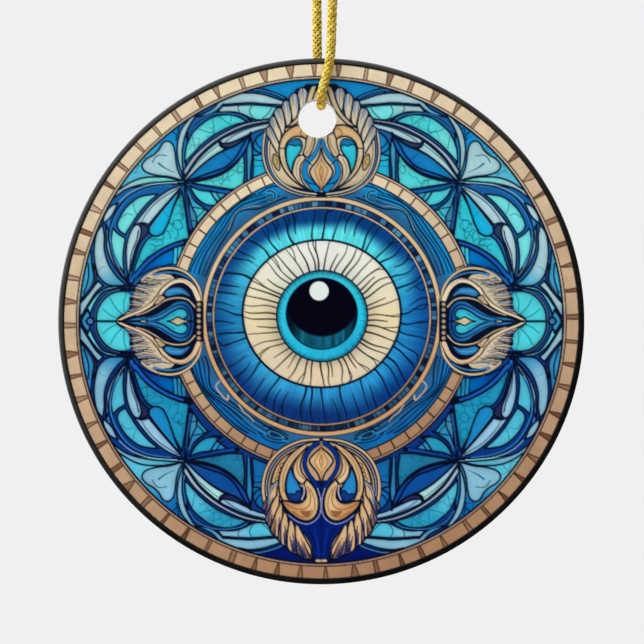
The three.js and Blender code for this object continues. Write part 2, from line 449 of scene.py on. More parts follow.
class Picture:
    """Colours on a square grid over the disc's face."""

    def __init__(self, radius, spacing):
        self.spacing = spacing
        count = math.ceil(radius / spacing)
        self.axis = np.arange(-count, count + 1) * spacing
        self.x, self.z = np.meshgrid(self.axis, self.axis)
        self.top_share = smoothstep(-9, 7, self.z + 0.05 * self.x)
        self.mottle = (0.5 * value_noise(self.x, self.z, 2.3, 1) + 0.3 * value_noise(self.x, self.z, 0.9,
            2) + 0.2 * value_noise(self.x, self.z, 0.4, 3))
        self.cracks = crack_lines(self.x, self.z, 1.15, 0.055, spacing)
        self.rgb = np.array(self.tone("gap"))

    def tone(self, name, part=...):
        """A named colour over part of the grid, as triples."""
        if isinstance(name, tuple):
            return np.broadcast_to(np.array(name, float), (*self.x[part].shape, 3))
        top, bottom = (np.array(c, float) for c in COLOURS[name])
        return bottom + (top - bottom) * self.top_share[part][..., None]

    def window(self, points, margin):
        low = np.searchsorted(self.axis, points.min(0) - margin)
        high = np.searchsorted(self.axis, points.max(0) + margin)
        return slice(low[1], high[1]), slice(low[0], high[0])

    def mirrored(self, part, sx, sz):
        """The rows and columns that lie opposite a part of the grid."""
        count = len(self.axis)
        rows, columns = part
        if sz < 0:
            rows = slice(count - rows.stop, count - rows.start)
        if sx < 0:
            columns = slice(count - columns.stop, count - columns.start)
        return rows, columns

    def lay(self, part, coverage, colour):
        cover = np.clip(coverage, 0, 1)[..., None]
        self.rgb[part] = self.rgb[part] * (1 - cover) + colour * cover

    def distance(self, part, line, reach):
        """How far each grid point of a part is from a line, up to a reach, and how far along it."""
        x = self.x[part]
        z = self.z[part]
        away = np.full(x.shape, reach * 2.0)
        share = np.zeros(x.shape)
        count = len(line) - 1
        for first in range(0, count, 6):
            piece = line[first : first + 7]
            low = piece.min(0) - reach
            high = piece.max(0) + reach
            columns = slice(np.searchsorted(x[0], low[0]), np.searchsorted(x[0], high[0]))
            rows = slice(np.searchsorted(z[:, 0], low[1]), np.searchsorted(z[:, 0], high[1]))
            if columns.start == columns.stop or rows.start == rows.stop:
                continue
            from_x = x[rows, columns][..., None] - piece[:-1, 0]
            from_z = z[rows, columns][..., None] - piece[:-1, 1]
            d = np.diff(piece, axis=0)
            t = (from_x * d[:, 0] + from_z * d[:, 1]) / np.maximum((d * d).sum(1), 1e-9)
            t = np.clip(t, 0, 1)
            off = np.hypot(from_x - t * d[:, 0], from_z - t * d[:, 1])
            nearest = off.argmin(-1)[..., None]
            best = np.take_along_axis(off, nearest, -1)[..., 0]
            along = (first + nearest + np.take_along_axis(t, nearest, -1))[..., 0] / count
            closer = best < away[rows, columns]
            away[rows, columns] = np.where(closer, best, away[rows, columns])
            share[rows, columns] = np.where(closer, along, share[rows, columns])
        return away, share

    def inside(self, part, outline):
        x = self.x[part][..., None]
        z = self.z[part][..., None]
        a = outline
        b = np.roll(outline, -1, axis=0)
        crosses = (a[:, 1] > z) != (b[:, 1] > z)
        rise = np.where(b[:, 1] == a[:, 1], 1, b[:, 1] - a[:, 1])
        left = x < a[:, 0] + (z - a[:, 1]) * (b[:, 0] - a[:, 0]) / rise
        return (crosses & left).sum(-1) % 2 == 1

    def fitted(self, line):
        """The line, drawn in a little towards the middle where it nears the top or bottom border."""
        return line * np.column_stack([np.ones(len(line)), 1 - 0.016 * smoothstep(22, 33, np.abs(line[:,
            1]))])

    def stroke(self, points, width=0.22, colour="ink", taper=(1, 1), where="all", strength=1.0):
        """A brush line through the points; taper scales its width at the two ends."""
        line = self.fitted(smooth(points))
        reach = width * max(*taper, 1) / 2 + 2 * self.spacing
        part = self.window(line, reach)
        away, share = self.distance(part, line, reach)
        half = width / 2 * (taper[0] + (taper[1] - taper[0]) * share)
        cover = np.clip(0.5 + (half - away) / self.spacing, 0, 1) * strength
        for sx, sz in MIRRORS[where]:
            place = self.mirrored(part, sx, sz)
            self.lay(place, cover[::sz, ::sx], self.tone(colour, place))

    def fill(self, outline, colour, where="all", to=None, towards=None, dark_edge=0.22, cracks=0.0):
        """A painted cell. It may grade to a second colour between two points."""
        outline = self.fitted(outline)
        part = self.window(outline, 0.4)
        away, _ = self.distance(part, np.vstack([outline, outline[:1]]), 1.0)
        signed = np.where(self.inside(part, outline), -away, away)
        edge = 1 - dark_edge * np.exp(np.minimum(signed, 0) / 0.28)
        cover = np.clip(0.5 - signed / self.spacing, 0, 1)
        if to is not None:
            start, stop = np.array(towards, float)
            d = stop - start
            share = ((self.x[part] - start[0]) * d[0] + (self.z[part] - start[1]) * d[1]) / (d @ d)
            share = smoothstep(0, 1, share)[..., None]
        for sx, sz in MIRRORS[where]:
            place = self.mirrored(part, sx, sz)
            tone = self.tone(colour, place)
            if to is not None:
                tone = tone + (self.tone(to, place) - tone) * share[::sz, ::sx]
            shade = edge[::sz, ::sx] * (1 + 0.12 * (self.mottle[place] - 0.5))
            shade = shade * (1 - cracks * self.cracks[place])
            self.lay(place, cover[::sz, ::sx], np.clip(tone * shade[..., None], 0, 255))

    def cell(self, runs, colour, width=0.22, where="all", **grading):
        """A cell bounded by smooth runs that meet at corners, with an ink outline along them."""
        self.fill(np.vstack([smooth(run) for run in runs]), colour, where, **grading)
        if width:
            for run in runs:
                self.stroke(run, width, where=where)

    def near(self, centre, inner, outer):
        """The grid points of a ring, with their distance and direction in degrees from its centre."""
        x = self.x - centre[0]
        z = self.z - centre[1]
        r = np.hypot(x, z)
        part = (r > inner - 0.3) & (r < outer + 0.3)
        return part, r[part], (np.degrees(np.arctan2(z[part], x[part])) + 360) % 360

    def between(self, r, inner, outer):
        return np.clip(0.5 + (outer - r) / self.spacing, 0, 1) * np.clip(0.5 + (r - inner) / self.spacing,
            0, 1)

    def band(self, centre, inner, outer, colour):
        part, r, _ = self.near(centre, inner, outer)
        shade = 1 + 0.1 * (self.mottle[part] - 0.5)
        self.lay(part, self.between(r, inner, outer), np.clip(self.tone(colour, part) * shade[..., None],
            0, 255))

    def barbs(self, roots, tips, count, colours, width, where="all", bend=0.1, strength=1.0):
        """Fine tapered lines that run from one curve to another, in turning colours."""
        root_line = evenly(smooth(roots), 0.05)
        tip_line = evenly(smooth(tips), 0.05)
        for k in range(count):
            share = k / max(1, count - 1)
            a = root_line[round(share * (len(root_line) - 1))]
            b = tip_line[round(share * (len(tip_line) - 1))]
            a = a + (b - a) * 0.3 * (k * 0.618 % 1)
            side = np.array([b[1] - a[1], a[0] - b[0]])
            self.stroke([a, (a + b) / 2 + bend * side, b], width, colours[k % len(colours)], (0.35, 1),
                where, strength)


# ---- The picture: border ----

EYE = (0.07, 0.7)


BRICK_SHADED = np.array([156, 118, 88.0])
BRICK_LIT = np.array([233, 215, 181.0])
BRICK_LIT_TOWARDS = 103  # degrees, anticlockwise from the right


def brick_course(art, centre, inner, outer, count, seed, joint=0.17):
    """A ring of long light bricks, with a narrow darker wedge or a plain line at each joint."""
    rng = np.random.default_rng(seed)
    part, r, turn = art.near(centre, inner, outer)
    light = (0.5 + 0.5 * np.cos(np.radians(turn - BRICK_LIT_TOWARDS)))[:, None]
    base = BRICK_SHADED * (1 - light) + BRICK_LIT * light
    base = base * (1 + 0.12 * (art.mottle[part] - 0.5))[:, None]
    cover = art.between(r, inner, outer)
    art.lay(part, cover, base)
    pitch = 360 / count
    starts = pitch * (np.arange(count) + rng.uniform(0.15, 0.35, count))
    halves = pitch * joint / 2 * rng.uniform(0.6, 1.25, count)
    flare = rng.uniform(-0.2, 1.0, count)
    strong = rng.uniform(0.3, 1.0, count)
    nearest = ((turn / pitch).astype(int)) % count
    off = (turn - starts[nearest] + 180) % 360 - 180
    depth = (r - inner) / (outer - inner)
    half = halves[nearest] * (1 + flare[nearest] * (depth - 0.5) * 1.6)
    across = r * math.pi / 180
    from_edge = (np.abs(off) - half) * across
    dark = base * [0.6, 0.47, 0.42]
    art.lay(part, cover * np.clip(0.5 - from_edge / art.spacing, 0, 1) * strong[nearest] * (joint > 0.1),
        dark)
    edge = np.clip(0.5 + (0.07 - np.abs(from_edge)) / art.spacing, 0, 1)
    art.lay(part, cover * edge * 0.9, base * [0.2, 0.15, 0.14])


def paint_border(art):
    art.band((0, 0), 33.38, 33.66, "ink")
    art.band((0, 0), 33.64, 33.88, "tan")
    art.band((0, 0), 33.86, 34.02, (34, 22, 22))
    brick_course(art, (0, 0), 34.0, 35.62, 64, 11)
    art.band((0, 0), 35.6, 37, (12, 8, 8))


# ---- The picture: the field of petals, given for the upper right quarter ----

STAR = (18.9, 19.2)
KNOT = (26.5, 4.8)


def paint_corner_petals(art):
    """The heart petal that points outwards from the star, and the two bands beside it."""
    art.cell([ring_points((0, 0), 34.1, 33.5, 56.5, 9), [(18.4, 27.8), STAR], [STAR, (27.8, 18.4)]],
        "blue", where="all", to=(84, 180, 206), towards=((20.5, 26.5), (25, 21)), cracks=0.25)
    art.stroke([(20.1, 26.0), (20.9, 26.6), (21.6, 26.3)], 0.14)
    art.stroke([(19.7, 27.0), (19.9, 26.2), (20.1, 25.2)], 0.14)
    art.cell([[(19.2, 19.5), (21, 20.0), (23, 20.25), (24.4, 20.75), (24.85, 21.6), (24.25, 22.45), (23.2,
        23.1), (22.5, 23.8), (22.0, 24.7), (21.3, 25.05), (20.6, 24.6), (20.25, 23.4), (20.1, 22), (19.8,
        20.8), (19.2, 19.5)]], "pale", 0.22)
    art.stroke([(23.4, 22.0), (22.9, 22.8), (22.2, 23.05), (21.4, 22.9)], 0.26, (28, 70, 80), (0.5, 0.4))
    art.stroke([(22.5, 21.85), (21.6, 21.2), (20.3, 20.6)], 0.22, (28, 70, 80), (1, 0.2))
    art.stroke([(22.0, 22.8), (22.0, 22.2), (22.2, 21.8)], 0.5, (140, 190, 195), (0.6, 0.3), strength=0.6)
    art.cell([[(18.95, 19.7), (19.7, 21.7), (19.97, 23.6), (19.8, 25.4), (19.25, 27.0), (18.3, 28.3)],
        [(17.2, 29.0), (18.3, 27.2), (18.95, 25.4), (19.25, 23.5), (19.2, 21.5), (18.95, 19.7)]], "pale",
        0.22)
    art.cell([[(19.3, 19.5), (22, 19.98), (24.5, 19.9), (26.3, 19.3), (28.2, 18.1)], [(28.9, 16.9), (27.4,
        18.05), (26, 18.65), (24, 19.1), (22, 19.3), (19.3, 19.5)]], "pale", 0.22, to="aqua",
        towards=((28, 18), (21, 19.6)))


def paint_upper_petals(art):
    """The cells between the star and the emblem at the top or bottom."""
    art.cell([[(18.9, 22.0), (18.75, 24.0), (17.9, 26.1), (16.7, 27.4), (15.2, 28.5), (13.3, 28.95),
        (11.7, 28.7), (10.3, 27.9)], [(10.3, 27.9), (12.5, 27.2), (14.7, 26.0), (16.5, 24.6), (17.8,
        23.2), (18.9, 22.0)]], "cyan", to="aqua", towards=((14.6, 27.5), (17.4, 25)), cracks=0.25)
    for crack in ([(17.9, 26.0), (17.7, 24.9), (17.5, 24.0)], [(17.3, 27.0), (16.2, 26.5), (15.0, 26.2)],
            [(15.1, 28.4), (14.9, 27.3), (14.8, 26.2)], [(14.3, 28.7), (13.3, 28.0), (12.5, 27.4)],
            [(12.5, 28.8), (12.5, 28.3), (12.6, 27.9)]):
        art.stroke(crack, 0.11, (16, 96, 118), strength=0.8)
    art.cell([[(17.4, 28.6), (15.2, 29.75), (13.9, 31.0), (12, 31.9), (10, 32.15), (8, 31.9), (6.3,
        31.35), (5.0, 30.9)], [(5.0, 30.9), (5.1, 30.35)], [(5.1, 30.35), (8, 30.55), (10, 30.7), (13.6,
        30.45)], [(13.6, 30.45), (14.4, 29.6), (15.6, 28.9), (17.4, 28.6)]], "pale", 0.22, to="sky",
        towards=((12, 31), (17.6, 28.9)))
    art.cell([[(13.7, 30.2), (10, 30.42), (7, 30.2), (5.9, 30.05)], [(5.9, 30.05), (6.6, 29.2), (6.9,
        28.35)], [(6.9, 28.35), (8.5, 28.15), (9.6, 28.35), (10.8, 28.95), (12.2, 29.35), (14.4, 29.3)],
        [(14.4, 29.3), (13.7, 30.2)]], "pale", 0.22, to="aqua", towards=((12, 30), (9, 29)))
    for crack in ([(11.3, 30.4), (11.55, 29.9), (11.25, 29.2)], [(9.6, 30.35), (9.95, 29.4), (9.4, 28.4)],
            [(6.8, 30.1), (7.3, 29.2), (8.1, 28.4)]):
        art.stroke(crack, 0.13, (22, 70, 90))
    art.stroke([(18.8, 25.6), (17.6, 27.5), (15.8, 28.75), (13.5, 29.12), (11.2, 28.85), (9.7, 28.05)],
        0.56, "ink", (0.5, 0.6))
    art.stroke([(18.4, 26.4), (17.3, 27.9), (15.6, 28.85), (13.5, 29.15), (11.3, 28.85), (10.3, 28.3)],
        0.28, (44, 110, 168), (0.6, 0.6))
    art.cell([ring_points((0, 0), 34.1, 74.5, 90.3, 8), [(0, 34.1), (0, 33.0)], [(0, 33.0), (1.9, 33.3),
        (2.5, 32.8), (3.4, 32.6), (3.9, 31.5), (4.9, 31.2)], [(4.9, 31.2), (6.3, 31.9), (8, 32.7), (9.0,
        32.1)]], "blue", 0.22, where="top")
    art.cell([ring_points((0, 0), 34.1, 70, 90.3, 8), [(0, 34.1), (0, 24.0)], [(0, 24.0), (4.0, 26.0),
        (5.0, 31.2)], [(5.0, 31.2), (7, 32.0), (9.0, 32.3), (11.4, 31.9)]], (2, 18, 92), 0.22,
        where="bottom")
    art.stroke([(10.2, 32.55), (8.2, 32.5), (6.3, 31.95), (5.0, 31.3)], 0.62, "ink", (0.6, 0.9))
    art.stroke([(9.8, 32.55), (8.2, 32.5), (6.3, 31.95), (5.2, 31.4)], 0.26, (46, 120, 176), (0.6, 0.8))


def paint_stems(art):
    """The long pale stems, the dark lens and the cells between the star and the emblem."""
    art.cell([[(19.0, 21.0), (17.6, 23.0), (15.4, 25.0), (13.0, 26.55), (10.4, 27.7), (7.0, 28.3)], [(7.0,
        28.3), (7.0, 27.95)], [(7.0, 27.95), (10.2, 27.3), (12.8, 26.15), (15.0, 24.7), (17.1, 22.7),
        (18.8, 20.2)]], (170, 190, 208), 0.22)
    art.cell([[(18.8, 19.9), (17.2, 22.3), (15.2, 24.25), (14.2, 25.0)], [(14.2, 25.0), (13.95, 24.3),
        (13.3, 23.9)], [(13.3, 23.9), (15, 22.85), (16.8, 21.35), (18.8, 19.4)]], (168, 218, 216), 0.22,
        to="ice", towards=((15, 23.5), (18.5, 20)))
    art.stroke([(18.85, 19.8), (17.2, 21.95), (15.3, 23.6), (14.1, 24.6)], 0.14, (24, 60, 80), (1, 0.5))
    art.cell([[(14.0, 24.9), (13.6, 24.2), (12.6, 24.1), (11.5, 24.6), (10.8, 25.4)], [(10.8, 25.4),
        (12.6, 25.0), (14.0, 24.9)]], "slate", 0.22)
    art.cell([[(7.05, 27.75), (8.6, 27.45), (10.6, 26.85), (12.5, 26.0), (13.7, 25.4), (13.98, 25.02),
        (13.7, 24.72), (12.9, 24.75), (11.8, 25.1), (10.5, 25.75), (8.8, 26.55), (7.05, 27.0)]], "ice",
        0.22)
    art.stroke([(7.3, 27.5), (9.6, 27.0), (11.8, 26.0), (13.3, 24.95)], 0.13, (24, 50, 70), (0.6, 1))
    art.cell([[(18.7, 19.5), (16.9, 21.3), (15.0, 22.8), (13.3, 23.75), (11.8, 24.4), (10.6, 25.35),
        (9.75, 26.3)], [(9.75, 26.3), (9.9, 25.0), (10.6, 23.4), (11.9, 21.8), (13.9, 20.5), (16.2,
        19.75), (18.7, 19.4)]], "lens", 0.24, to="royal", towards=((13.5, 23), (12, 21.5)))
    art.cell([[(18.4, 19.5), (15.6, 20.5), (13.3, 21.35), (11.8, 22.8), (10.8, 24.6), (9.9, 26.0)], [(9.9,
        26.0), (10.1, 24.6), (10.8, 23.2), (12.0, 21.9), (13.9, 20.6), (16.2, 19.85), (18.4, 19.5)]],
        "royal", 0.26, dark_edge=0.1)
    art.stroke([(13.6, 23.4), (12.9, 22.8), (12.4, 22.3)], 0.11, (8, 60, 130))
    art.cell([[(17.9, 19.22), (15.6, 19.7), (13.6, 20.45), (11.9, 21.7), (10.75, 23.2)], [(10.75, 23.2),
        (10.62, 20.7), (10.9, 18.35)], [(10.9, 18.35), (12.5, 18.3), (14.5, 18.6), (17.9, 19.12)]],
        "teal", 0.22, cracks=0.3)
    for crack in ([(14.9, 19.4), (14.2, 19.5), (13.9, 19.0), (13.3, 19.7), (13.1, 20.1)], [(12.9, 19.9),
            (12.4, 20.2), (12.0, 20.6)], [(11.6, 21.4), (11.1, 21.5), (10.8, 21.1), (11.0, 20.6), (11.5,
            20.5), (11.7, 20.9), (11.5, 21.4)]):
        art.stroke(crack, 0.1, (12, 110, 130), strength=0.85)
    art.cell([[(10.35, 23.7), (10.3, 21.0), (10.3, 18.7)], [(9.85, 18.9), (9.75, 21.0), (9.55, 23.3),
        (9.7, 25.4)], [(9.7, 25.4), (10.1, 24.6), (10.35, 23.7)]], "sky", 0.22)
    art.cell([[(9.4, 23.2), (9.45, 21.0), (9.6, 18.9)], [(9.6, 18.9), (8.3, 19.4), (7.1, 19.9)], [(7.1,
        19.9), (7.7, 21.2), (8.0, 22.3), (8.05, 23.3)]], "bay", 0.22)
    art.cell([[(9.55, 23.0), (9.4, 24.6), (8.8, 25.7), (7.75, 26.5)], [(7.75, 26.5), (7.75, 25.2), (8.05,
        23.3)], [(8.05, 23.3), (8.9, 23.0), (9.55, 23.0)]], "blue", 0.22)
    art.stroke([(9.6, 24.4), (9.0, 23.6), (8.1, 23.2)], 0.2)
    art.stroke([(9.1, 25.2), (8.8, 24.4), (8.05, 23.8)], 0.16)
    art.stroke([(9.4, 22.4), (8.8, 22.3), (8.0, 22.2)], 0.14)
    art.stroke([(9.4, 21.4), (8.6, 21.5), (8.0, 21.5)], 0.1, "deep")


def paint_spokes(art):
    """The thin cells and thick spokes between the star and the inner brick ring."""
    art.cell([[(18.2, 18.75), (16.9, 18.2), (15.4, 17.98), (12.4, 17.6)], ring_points(EYE, 21.35, 54.5,
        47.5, 5), [(14.3, 16.1), (15.4, 16.0), (16.5, 16.45), (17.5, 17.4), (18.2, 18.75)]], "cyan", 0.22,
        to="sky", towards=((15.6, 17.2), (13.4, 17.2)))
    art.stroke([(15.4, 18.0), (14.7, 16.9), (14.0, 16.2)], 0.22)
    art.stroke([(14.6, 17.9), (14.1, 17.1), (13.5, 16.6)], 0.16)
    art.stroke([(13.3, 17.2), (13.2, 17.5), (13.0, 17.8)], 0.1)
    art.cell([[(18.35, 18.3), (17.6, 16.8), (16.4, 15.8), (15.3, 15.2)], ring_points(EYE, 21.35, 43.2,
        32.5, 6), [(18.1, 12.6), (18.3, 15.0), (18.5, 17.6)]], "cyan", 0.22, to="sky", towards=((16.2,
        14.5), (18.2, 14.8)))
    art.cell([[(18.35, 17.2), (17.9, 15.8), (17.3, 14.6), (17.3, 13.4), (17.8, 12.6)], [(17.8, 12.6),
        (18.2, 14.6), (18.35, 17.2)]], (62, 140, 178), 0.18)
    art.stroke([(17.9, 15.8), (16.6, 15.6), (15.7, 15.2)], 0.14)
    art.stroke([(17.3, 14.3), (16.6, 15.0), (16.2, 15.5)], 0.14)
    art.stroke([(18.0, 13.9), (17.4, 13.9), (17.2, 13.6)], 0.14)
    art.stroke([STAR, (16.5, 18.6), (14, 18.1), (11.6, 17.75)], 0.58, "ink", (0.3, 1.1))
    art.stroke([(18.3, 19.0), (16.4, 18.55), (14, 18.05), (12.2, 17.8)], 0.32, "royal", (0.3, 1.3))
    art.stroke([STAR, (17.7, 17.3), (16.6, 16.3), (15.2, 15.95), (13.9, 16.05)], 0.44, "ink", (0.6, 1))
    art.stroke([(18.4, 18.4), (17.7, 17.2), (16.5, 16.2), (15.2, 15.85)], 0.2, "royal", (0.5, 0.6))
    art.stroke([STAR, (18.62, 16.0), (18.15, 12.4)], 0.7, "ink", (0.4, 1.1))
    art.stroke([(18.75, 18.0), (18.5, 15.5), (18.1, 12.9)], 0.34, (24, 84, 150), (0.3, 1.0))


def paint_side_petals(art):
    """The petals that sweep from the star down to the knot beside the side emblem."""
    art.cell([[(19.3, 18.0), (18.8, 15.0), (18.3, 11.4)], [(18.3, 11.4), (20.5, 10.75), (22.6, 9.75),
        (24.3, 8.5), (26.2, 6.2)], [(26.2, 6.2), (25.2, 9.3), (24.2, 11.2), (23.0, 12.0)], [(23.0, 12.0),
        (21.6, 13.4), (20.6, 15.6), (19.3, 18.0)]], "lagoon", 0.22, cracks=0.35)
    for crack in ([(20.4, 13.9), (19.8, 14.0), (19.3, 13.5), (19.25, 12.9), (19.9, 12.7), (20.4, 13.1),
            (20.4, 13.9)], [(20.9, 13.4), (20.4, 13.5)], [(19.9, 12.7), (19.85, 11.6), (20.3, 11.5)],
            [(19.2, 15.4), (19.4, 16.0), (19.1, 16.3), (19.5, 16.8)], [(19.2, 15.2), (19.2, 14.2), (19.8,
            14.0)], [(23.5, 11.3), (22.8, 11.4), (22.0, 11.1), (22.0, 10.6), (22.9, 10.4)], [(23.6, 10.7),
            (23.1, 10.5), (23.0, 10.0), (23.5, 9.8)], [(21.4, 12.6), (21.0, 12.1), (20.9, 11.4)]):
        art.stroke(crack, 0.12, (8, 92, 124), strength=0.85)
    art.cell([[(19.5, 18.85), (21.5, 17.95), (23.5, 16.35), (25.0, 14.6), (26.0, 13.2)], [(26.0, 13.2),
        (25.2, 13.6), (24.5, 13.6), (23.9, 13.4)], [(23.9, 13.4), (22.4, 15.2), (21.0, 16.8), (19.5,
        18.5)]], "ice", 0.22)
    art.stroke([(19.8, 18.45), (22.4, 16.8), (24.0, 15.2), (24.9, 13.8)], 0.14, (24, 60, 80), (1, 0.7))
    art.cell([[(19.5, 18.4), (21.6, 15.9), (23.2, 13.9), (23.9, 12.65), (23.5, 11.95), (22.7, 11.8),
        (21.9, 12.2)], [(21.9, 12.2), (21.2, 13.6), (20.5, 15.7), (19.5, 18.4)]], "drop", 0.24)
    art.stroke([(20.0, 17.5), (22.0, 15.1), (23.6, 12.9)], 0.22, "sky", (0.5, 1.1))
    art.stroke([(20.1, 17.7), (22.2, 15.2), (23.85, 13.1)], 0.14, "ink")
    art.stroke([(21.9, 15.3), (21.4, 14.7), (20.9, 14.4)], 0.1, (12, 130, 160))
    art.cell([[(23.3, 17.6), (25.2, 17.2), (26.9, 15.9), (27.9, 14.4), (28.25, 13.3), (27.9, 12.5),
        (27.15, 12.0)], [(27.15, 12.0), (26.4, 13.2), (25.3, 14.9), (23.9, 16.5), (22.6, 17.6)], [(22.6,
        17.6), (23.3, 17.6)]], "aqua", 0.22)
    art.stroke([(26.0, 16.5), (25.9, 15.6), (25.6, 14.9)], 0.1, (20, 120, 140))
    art.stroke([(27.9, 14.2), (26.9, 14.9), (26.2, 14.7)], 0.1, (20, 120, 140))
    art.cell([[(27.15, 11.5), (28.1, 12.1), (28.9, 12.9)], [(28.9, 12.9), (29.1, 11.2), (28.8, 9.4),
        (28.1, 7.9), (27.3, 6.6)], [(27.3, 6.6), (27.45, 9.0), (27.15, 11.5)]], "aqua", 0.22)
    art.cell([[(26.3, 7.0), (25.2, 10.6), (24.0, 12.2), (24.1, 13.1), (25.0, 13.55)], [(25.0, 13.55),
        (25.4, 10.6), (26.3, 7.0)]], "slate", 0.22)
    art.cell([[(26.7, 5.9), (26.98, 8.0), (26.98, 10.3), (26.5, 12.2), (25.8, 13.3), (25.2, 13.3), (24.92,
        12.7)], [(24.92, 12.7), (25.1, 11.6), (25.8, 9.9), (26.3, 8.0), (26.7, 5.9)]], "ice", 0.22)
    art.stroke([(26.6, 7.0), (26.3, 9.4), (25.6, 11.2), (25.3, 12.6)], 0.16, "ink", (0.6, 1))
    art.stroke([(19.3, 19.1), (22.5, 18.8), (25.2, 18.05), (27.4, 16.5), (28.75, 14.3), (29.3, 11.8),
        (29.0, 9.4), (28.1, 7.5), (27.2, 6.1), KNOT], 0.92, "ink", (0.3, 0.5))
    art.stroke([(20.8, 18.9), (24.0, 18.4), (26.6, 17.1), (28.2, 15.1), (29.1, 12.9), (29.2, 11.2), (28.9,
        9.3), (28.0, 7.6)], 0.5, (38, 122, 190), (0.3, 0.5))
    art.stroke([(20.0, 19.22), (23.4, 18.95), (26.1, 18.05), (27.9, 16.6), (29.2, 14.9), (29.5, 13.4)],
        0.16, (170, 205, 215), (0.7, 0.5))
    art.stroke([(29.35, 11.5), (29.1, 9.4), (28.2, 7.6), (27.3, 6.2)], 0.2, (150, 180, 200), (0.7, 0.6))
    art.cell([[(28.2, 16.4), (29.3, 15.8), (30.05, 14.6), (30.25, 13.5)], [(30.25, 13.5), (29.3, 14.3),
        (28.7, 15.2), (28.2, 16.4)]], "ice", 0.22)


def paint_outer_side(art):
    """The shapes along the border, out from the side emblem."""
    art.cell([[(30.3, 13.4), (31.1, 12.2), (31.45, 10.2), (31.4, 8.5), (31.1, 7.0), (30.8, 6.2), (30.1,
        5.4), (29.3, 4.98), (28, 4.9), (27.0, 5.0)], [(27.0, 5.0), (28.4, 6.3), (29.5, 8.0), (30.05,
        10.0), (30.05, 11.8), (30.3, 13.4)]], "pale", 0.22, to="sky", towards=((30.5, 8), (28.6, 4.2)))
    art.stroke([(30.9, 6.9), (30.5, 7.4), (29.9, 7.6)], 0.1, (60, 150, 170))
    art.cell([[(29.85, 13.4), (29.75, 11.8), (29.65, 10.0), (28.9, 8.0), (27.8, 6.4), (26.8, 5.3)],
        [(26.8, 5.3), (28.2, 7.3), (29.0, 9.1), (29.4, 11.0), (29.5, 12.6), (29.85, 13.4)]], "ice", 0.24)
    art.cell([ring_points((0, 0), 34.1, 17.2, 5.2, 6), [(33.15, 3.1), (32.3, 4.2), (31.7, 5.2), (31.5,
        6.2), (31.75, 7.8), (31.85, 9.8)]], "sky", 0.22)
    art.stroke([(32.3, 8.0), (32.2, 6.4), (32.5, 5.0), (32.9, 3.9)], 0.2)
    art.stroke([(31.55, 7.8), (31.2, 6.2), (31.9, 4.6), (33.1, 3.1)], 0.42, "ink")
    art.stroke([(31.4, 7.0), (31.25, 6.1), (31.9, 4.8), (32.6, 3.8)], 0.18, "slate")
    art.cell([[(33.3, 2.6), (32.2, 3.9), (31.3, 5.1), (30.9, 5.6)], [(30.9, 5.6), (30.2, 4.95)], [(30.2,
        4.95), (31.2, 4.0), (32.3, 2.3), (33.3, 0.6)]], "pale", 0.26)
    art.cell([[(33.3, 0.1), (32.4, 1.9), (31.2, 3.6), (29.9, 4.6), (28.5, 4.85), (26.8, 4.9)], [(26.8,
        4.9), (28.4, 4.55), (30.1, 4.1), (31.2, 2.8), (31.9, 1.3), (32.4, 0.1)]], (112, 212, 224), 0.26)
    art.cell([[(33.3, 0), (32.9, 0.8), (32.3, 1.6)], [(32.3, 1.6), (32.0, 0.7), (32.2, 0)]], "sky", 0.26)
    art.cell([[(31.1, 0), (30.95, 1.4), (30.3, 2.6), (29.2, 3.65), (27.9, 4.05), (26.7, 3.9)], [(26.7,
        3.9), (26.2, 3.2), (26.5, 2.2), (27.1, 1.2), (27.9, 0.8), (28.3, 0)]], (76, 204, 214), 0)
    for crack in ([(27.5, 0.9), (28.5, 1.9), (29.25, 3.2)], [(28.2, 0.4), (29.3, 0.9), (30.2, 1.7)],
            [(27.3, 1.3), (27.35, 2.6), (27.0, 3.8)]):
        art.stroke(crack, 0.12, (10, 110, 130))
    art.stroke([(31.35, 0), (31.2, 1.4), (30.5, 2.8), (29.3, 3.9), (28, 4.3), (26.4, 4.4)], 0.55, "ink")
    art.stroke([(31.4, 0), (31.25, 1.4), (30.5, 2.85), (29.3, 3.95), (28, 4.35)], 0.2, "steel")
    art.stroke([(28.3, 0), (31.2, 0)], 0.22)
    art.fill(ring_points((32.0, 0), 0.62, 0, 360, 18), "ink", dark_edge=0)
    art.fill(ring_points((32.0, 0), 0.36, 0, 360, 18), (60, 110, 160), dark_edge=0)


def paint_ring_arcs(art):
    """The dark blue arc from the knot to the brick ring, and the cells under it."""
    art.cell([[(18.3, 10.6), (20.5, 10.0), (22.5, 9.0), (24.2, 7.6), (25.6, 6.0)], [(25.6, 6.0), (24.4,
        6.75), (23.3, 7.3), (22, 7.6), (20.4, 7.95), (19.3, 7.8)], ring_points(EYE, 21.3, 19.5, 28.3, 4)],
        "arc", 0.2, to="deep", towards=((21, 9), (24.6, 7)))
    for x in (19.05, 19.6, 20.15):
        art.stroke([(x, 10.2), (x + 0.05, 9.2), (x + 0.12, 8.1)], 0.4, "cyan", strength=0.75)
        art.stroke([(x + 0.3, 10.1), (x + 0.33, 9.2), (x + 0.4, 8.1)], 0.12)
    art.stroke([(18.2, 11.15), (20.3, 10.55), (22.5, 9.5), (24.3, 8.05), (25.7, 6.35), KNOT], 0.95, "ink",
        (1, 0.5))
    art.stroke([(19.2, 10.9), (20.9, 10.3), (22.7, 9.3), (24.4, 7.9), (25.8, 6.2)], 0.56, (16, 88, 180),
        (0.5, 0.8))
    art.stroke([(26.3, 5.5), (25.9, 6.6)], 0.5, (20, 110, 200), (0.6, 0.2))


# ---- The picture: rings round the eye ----


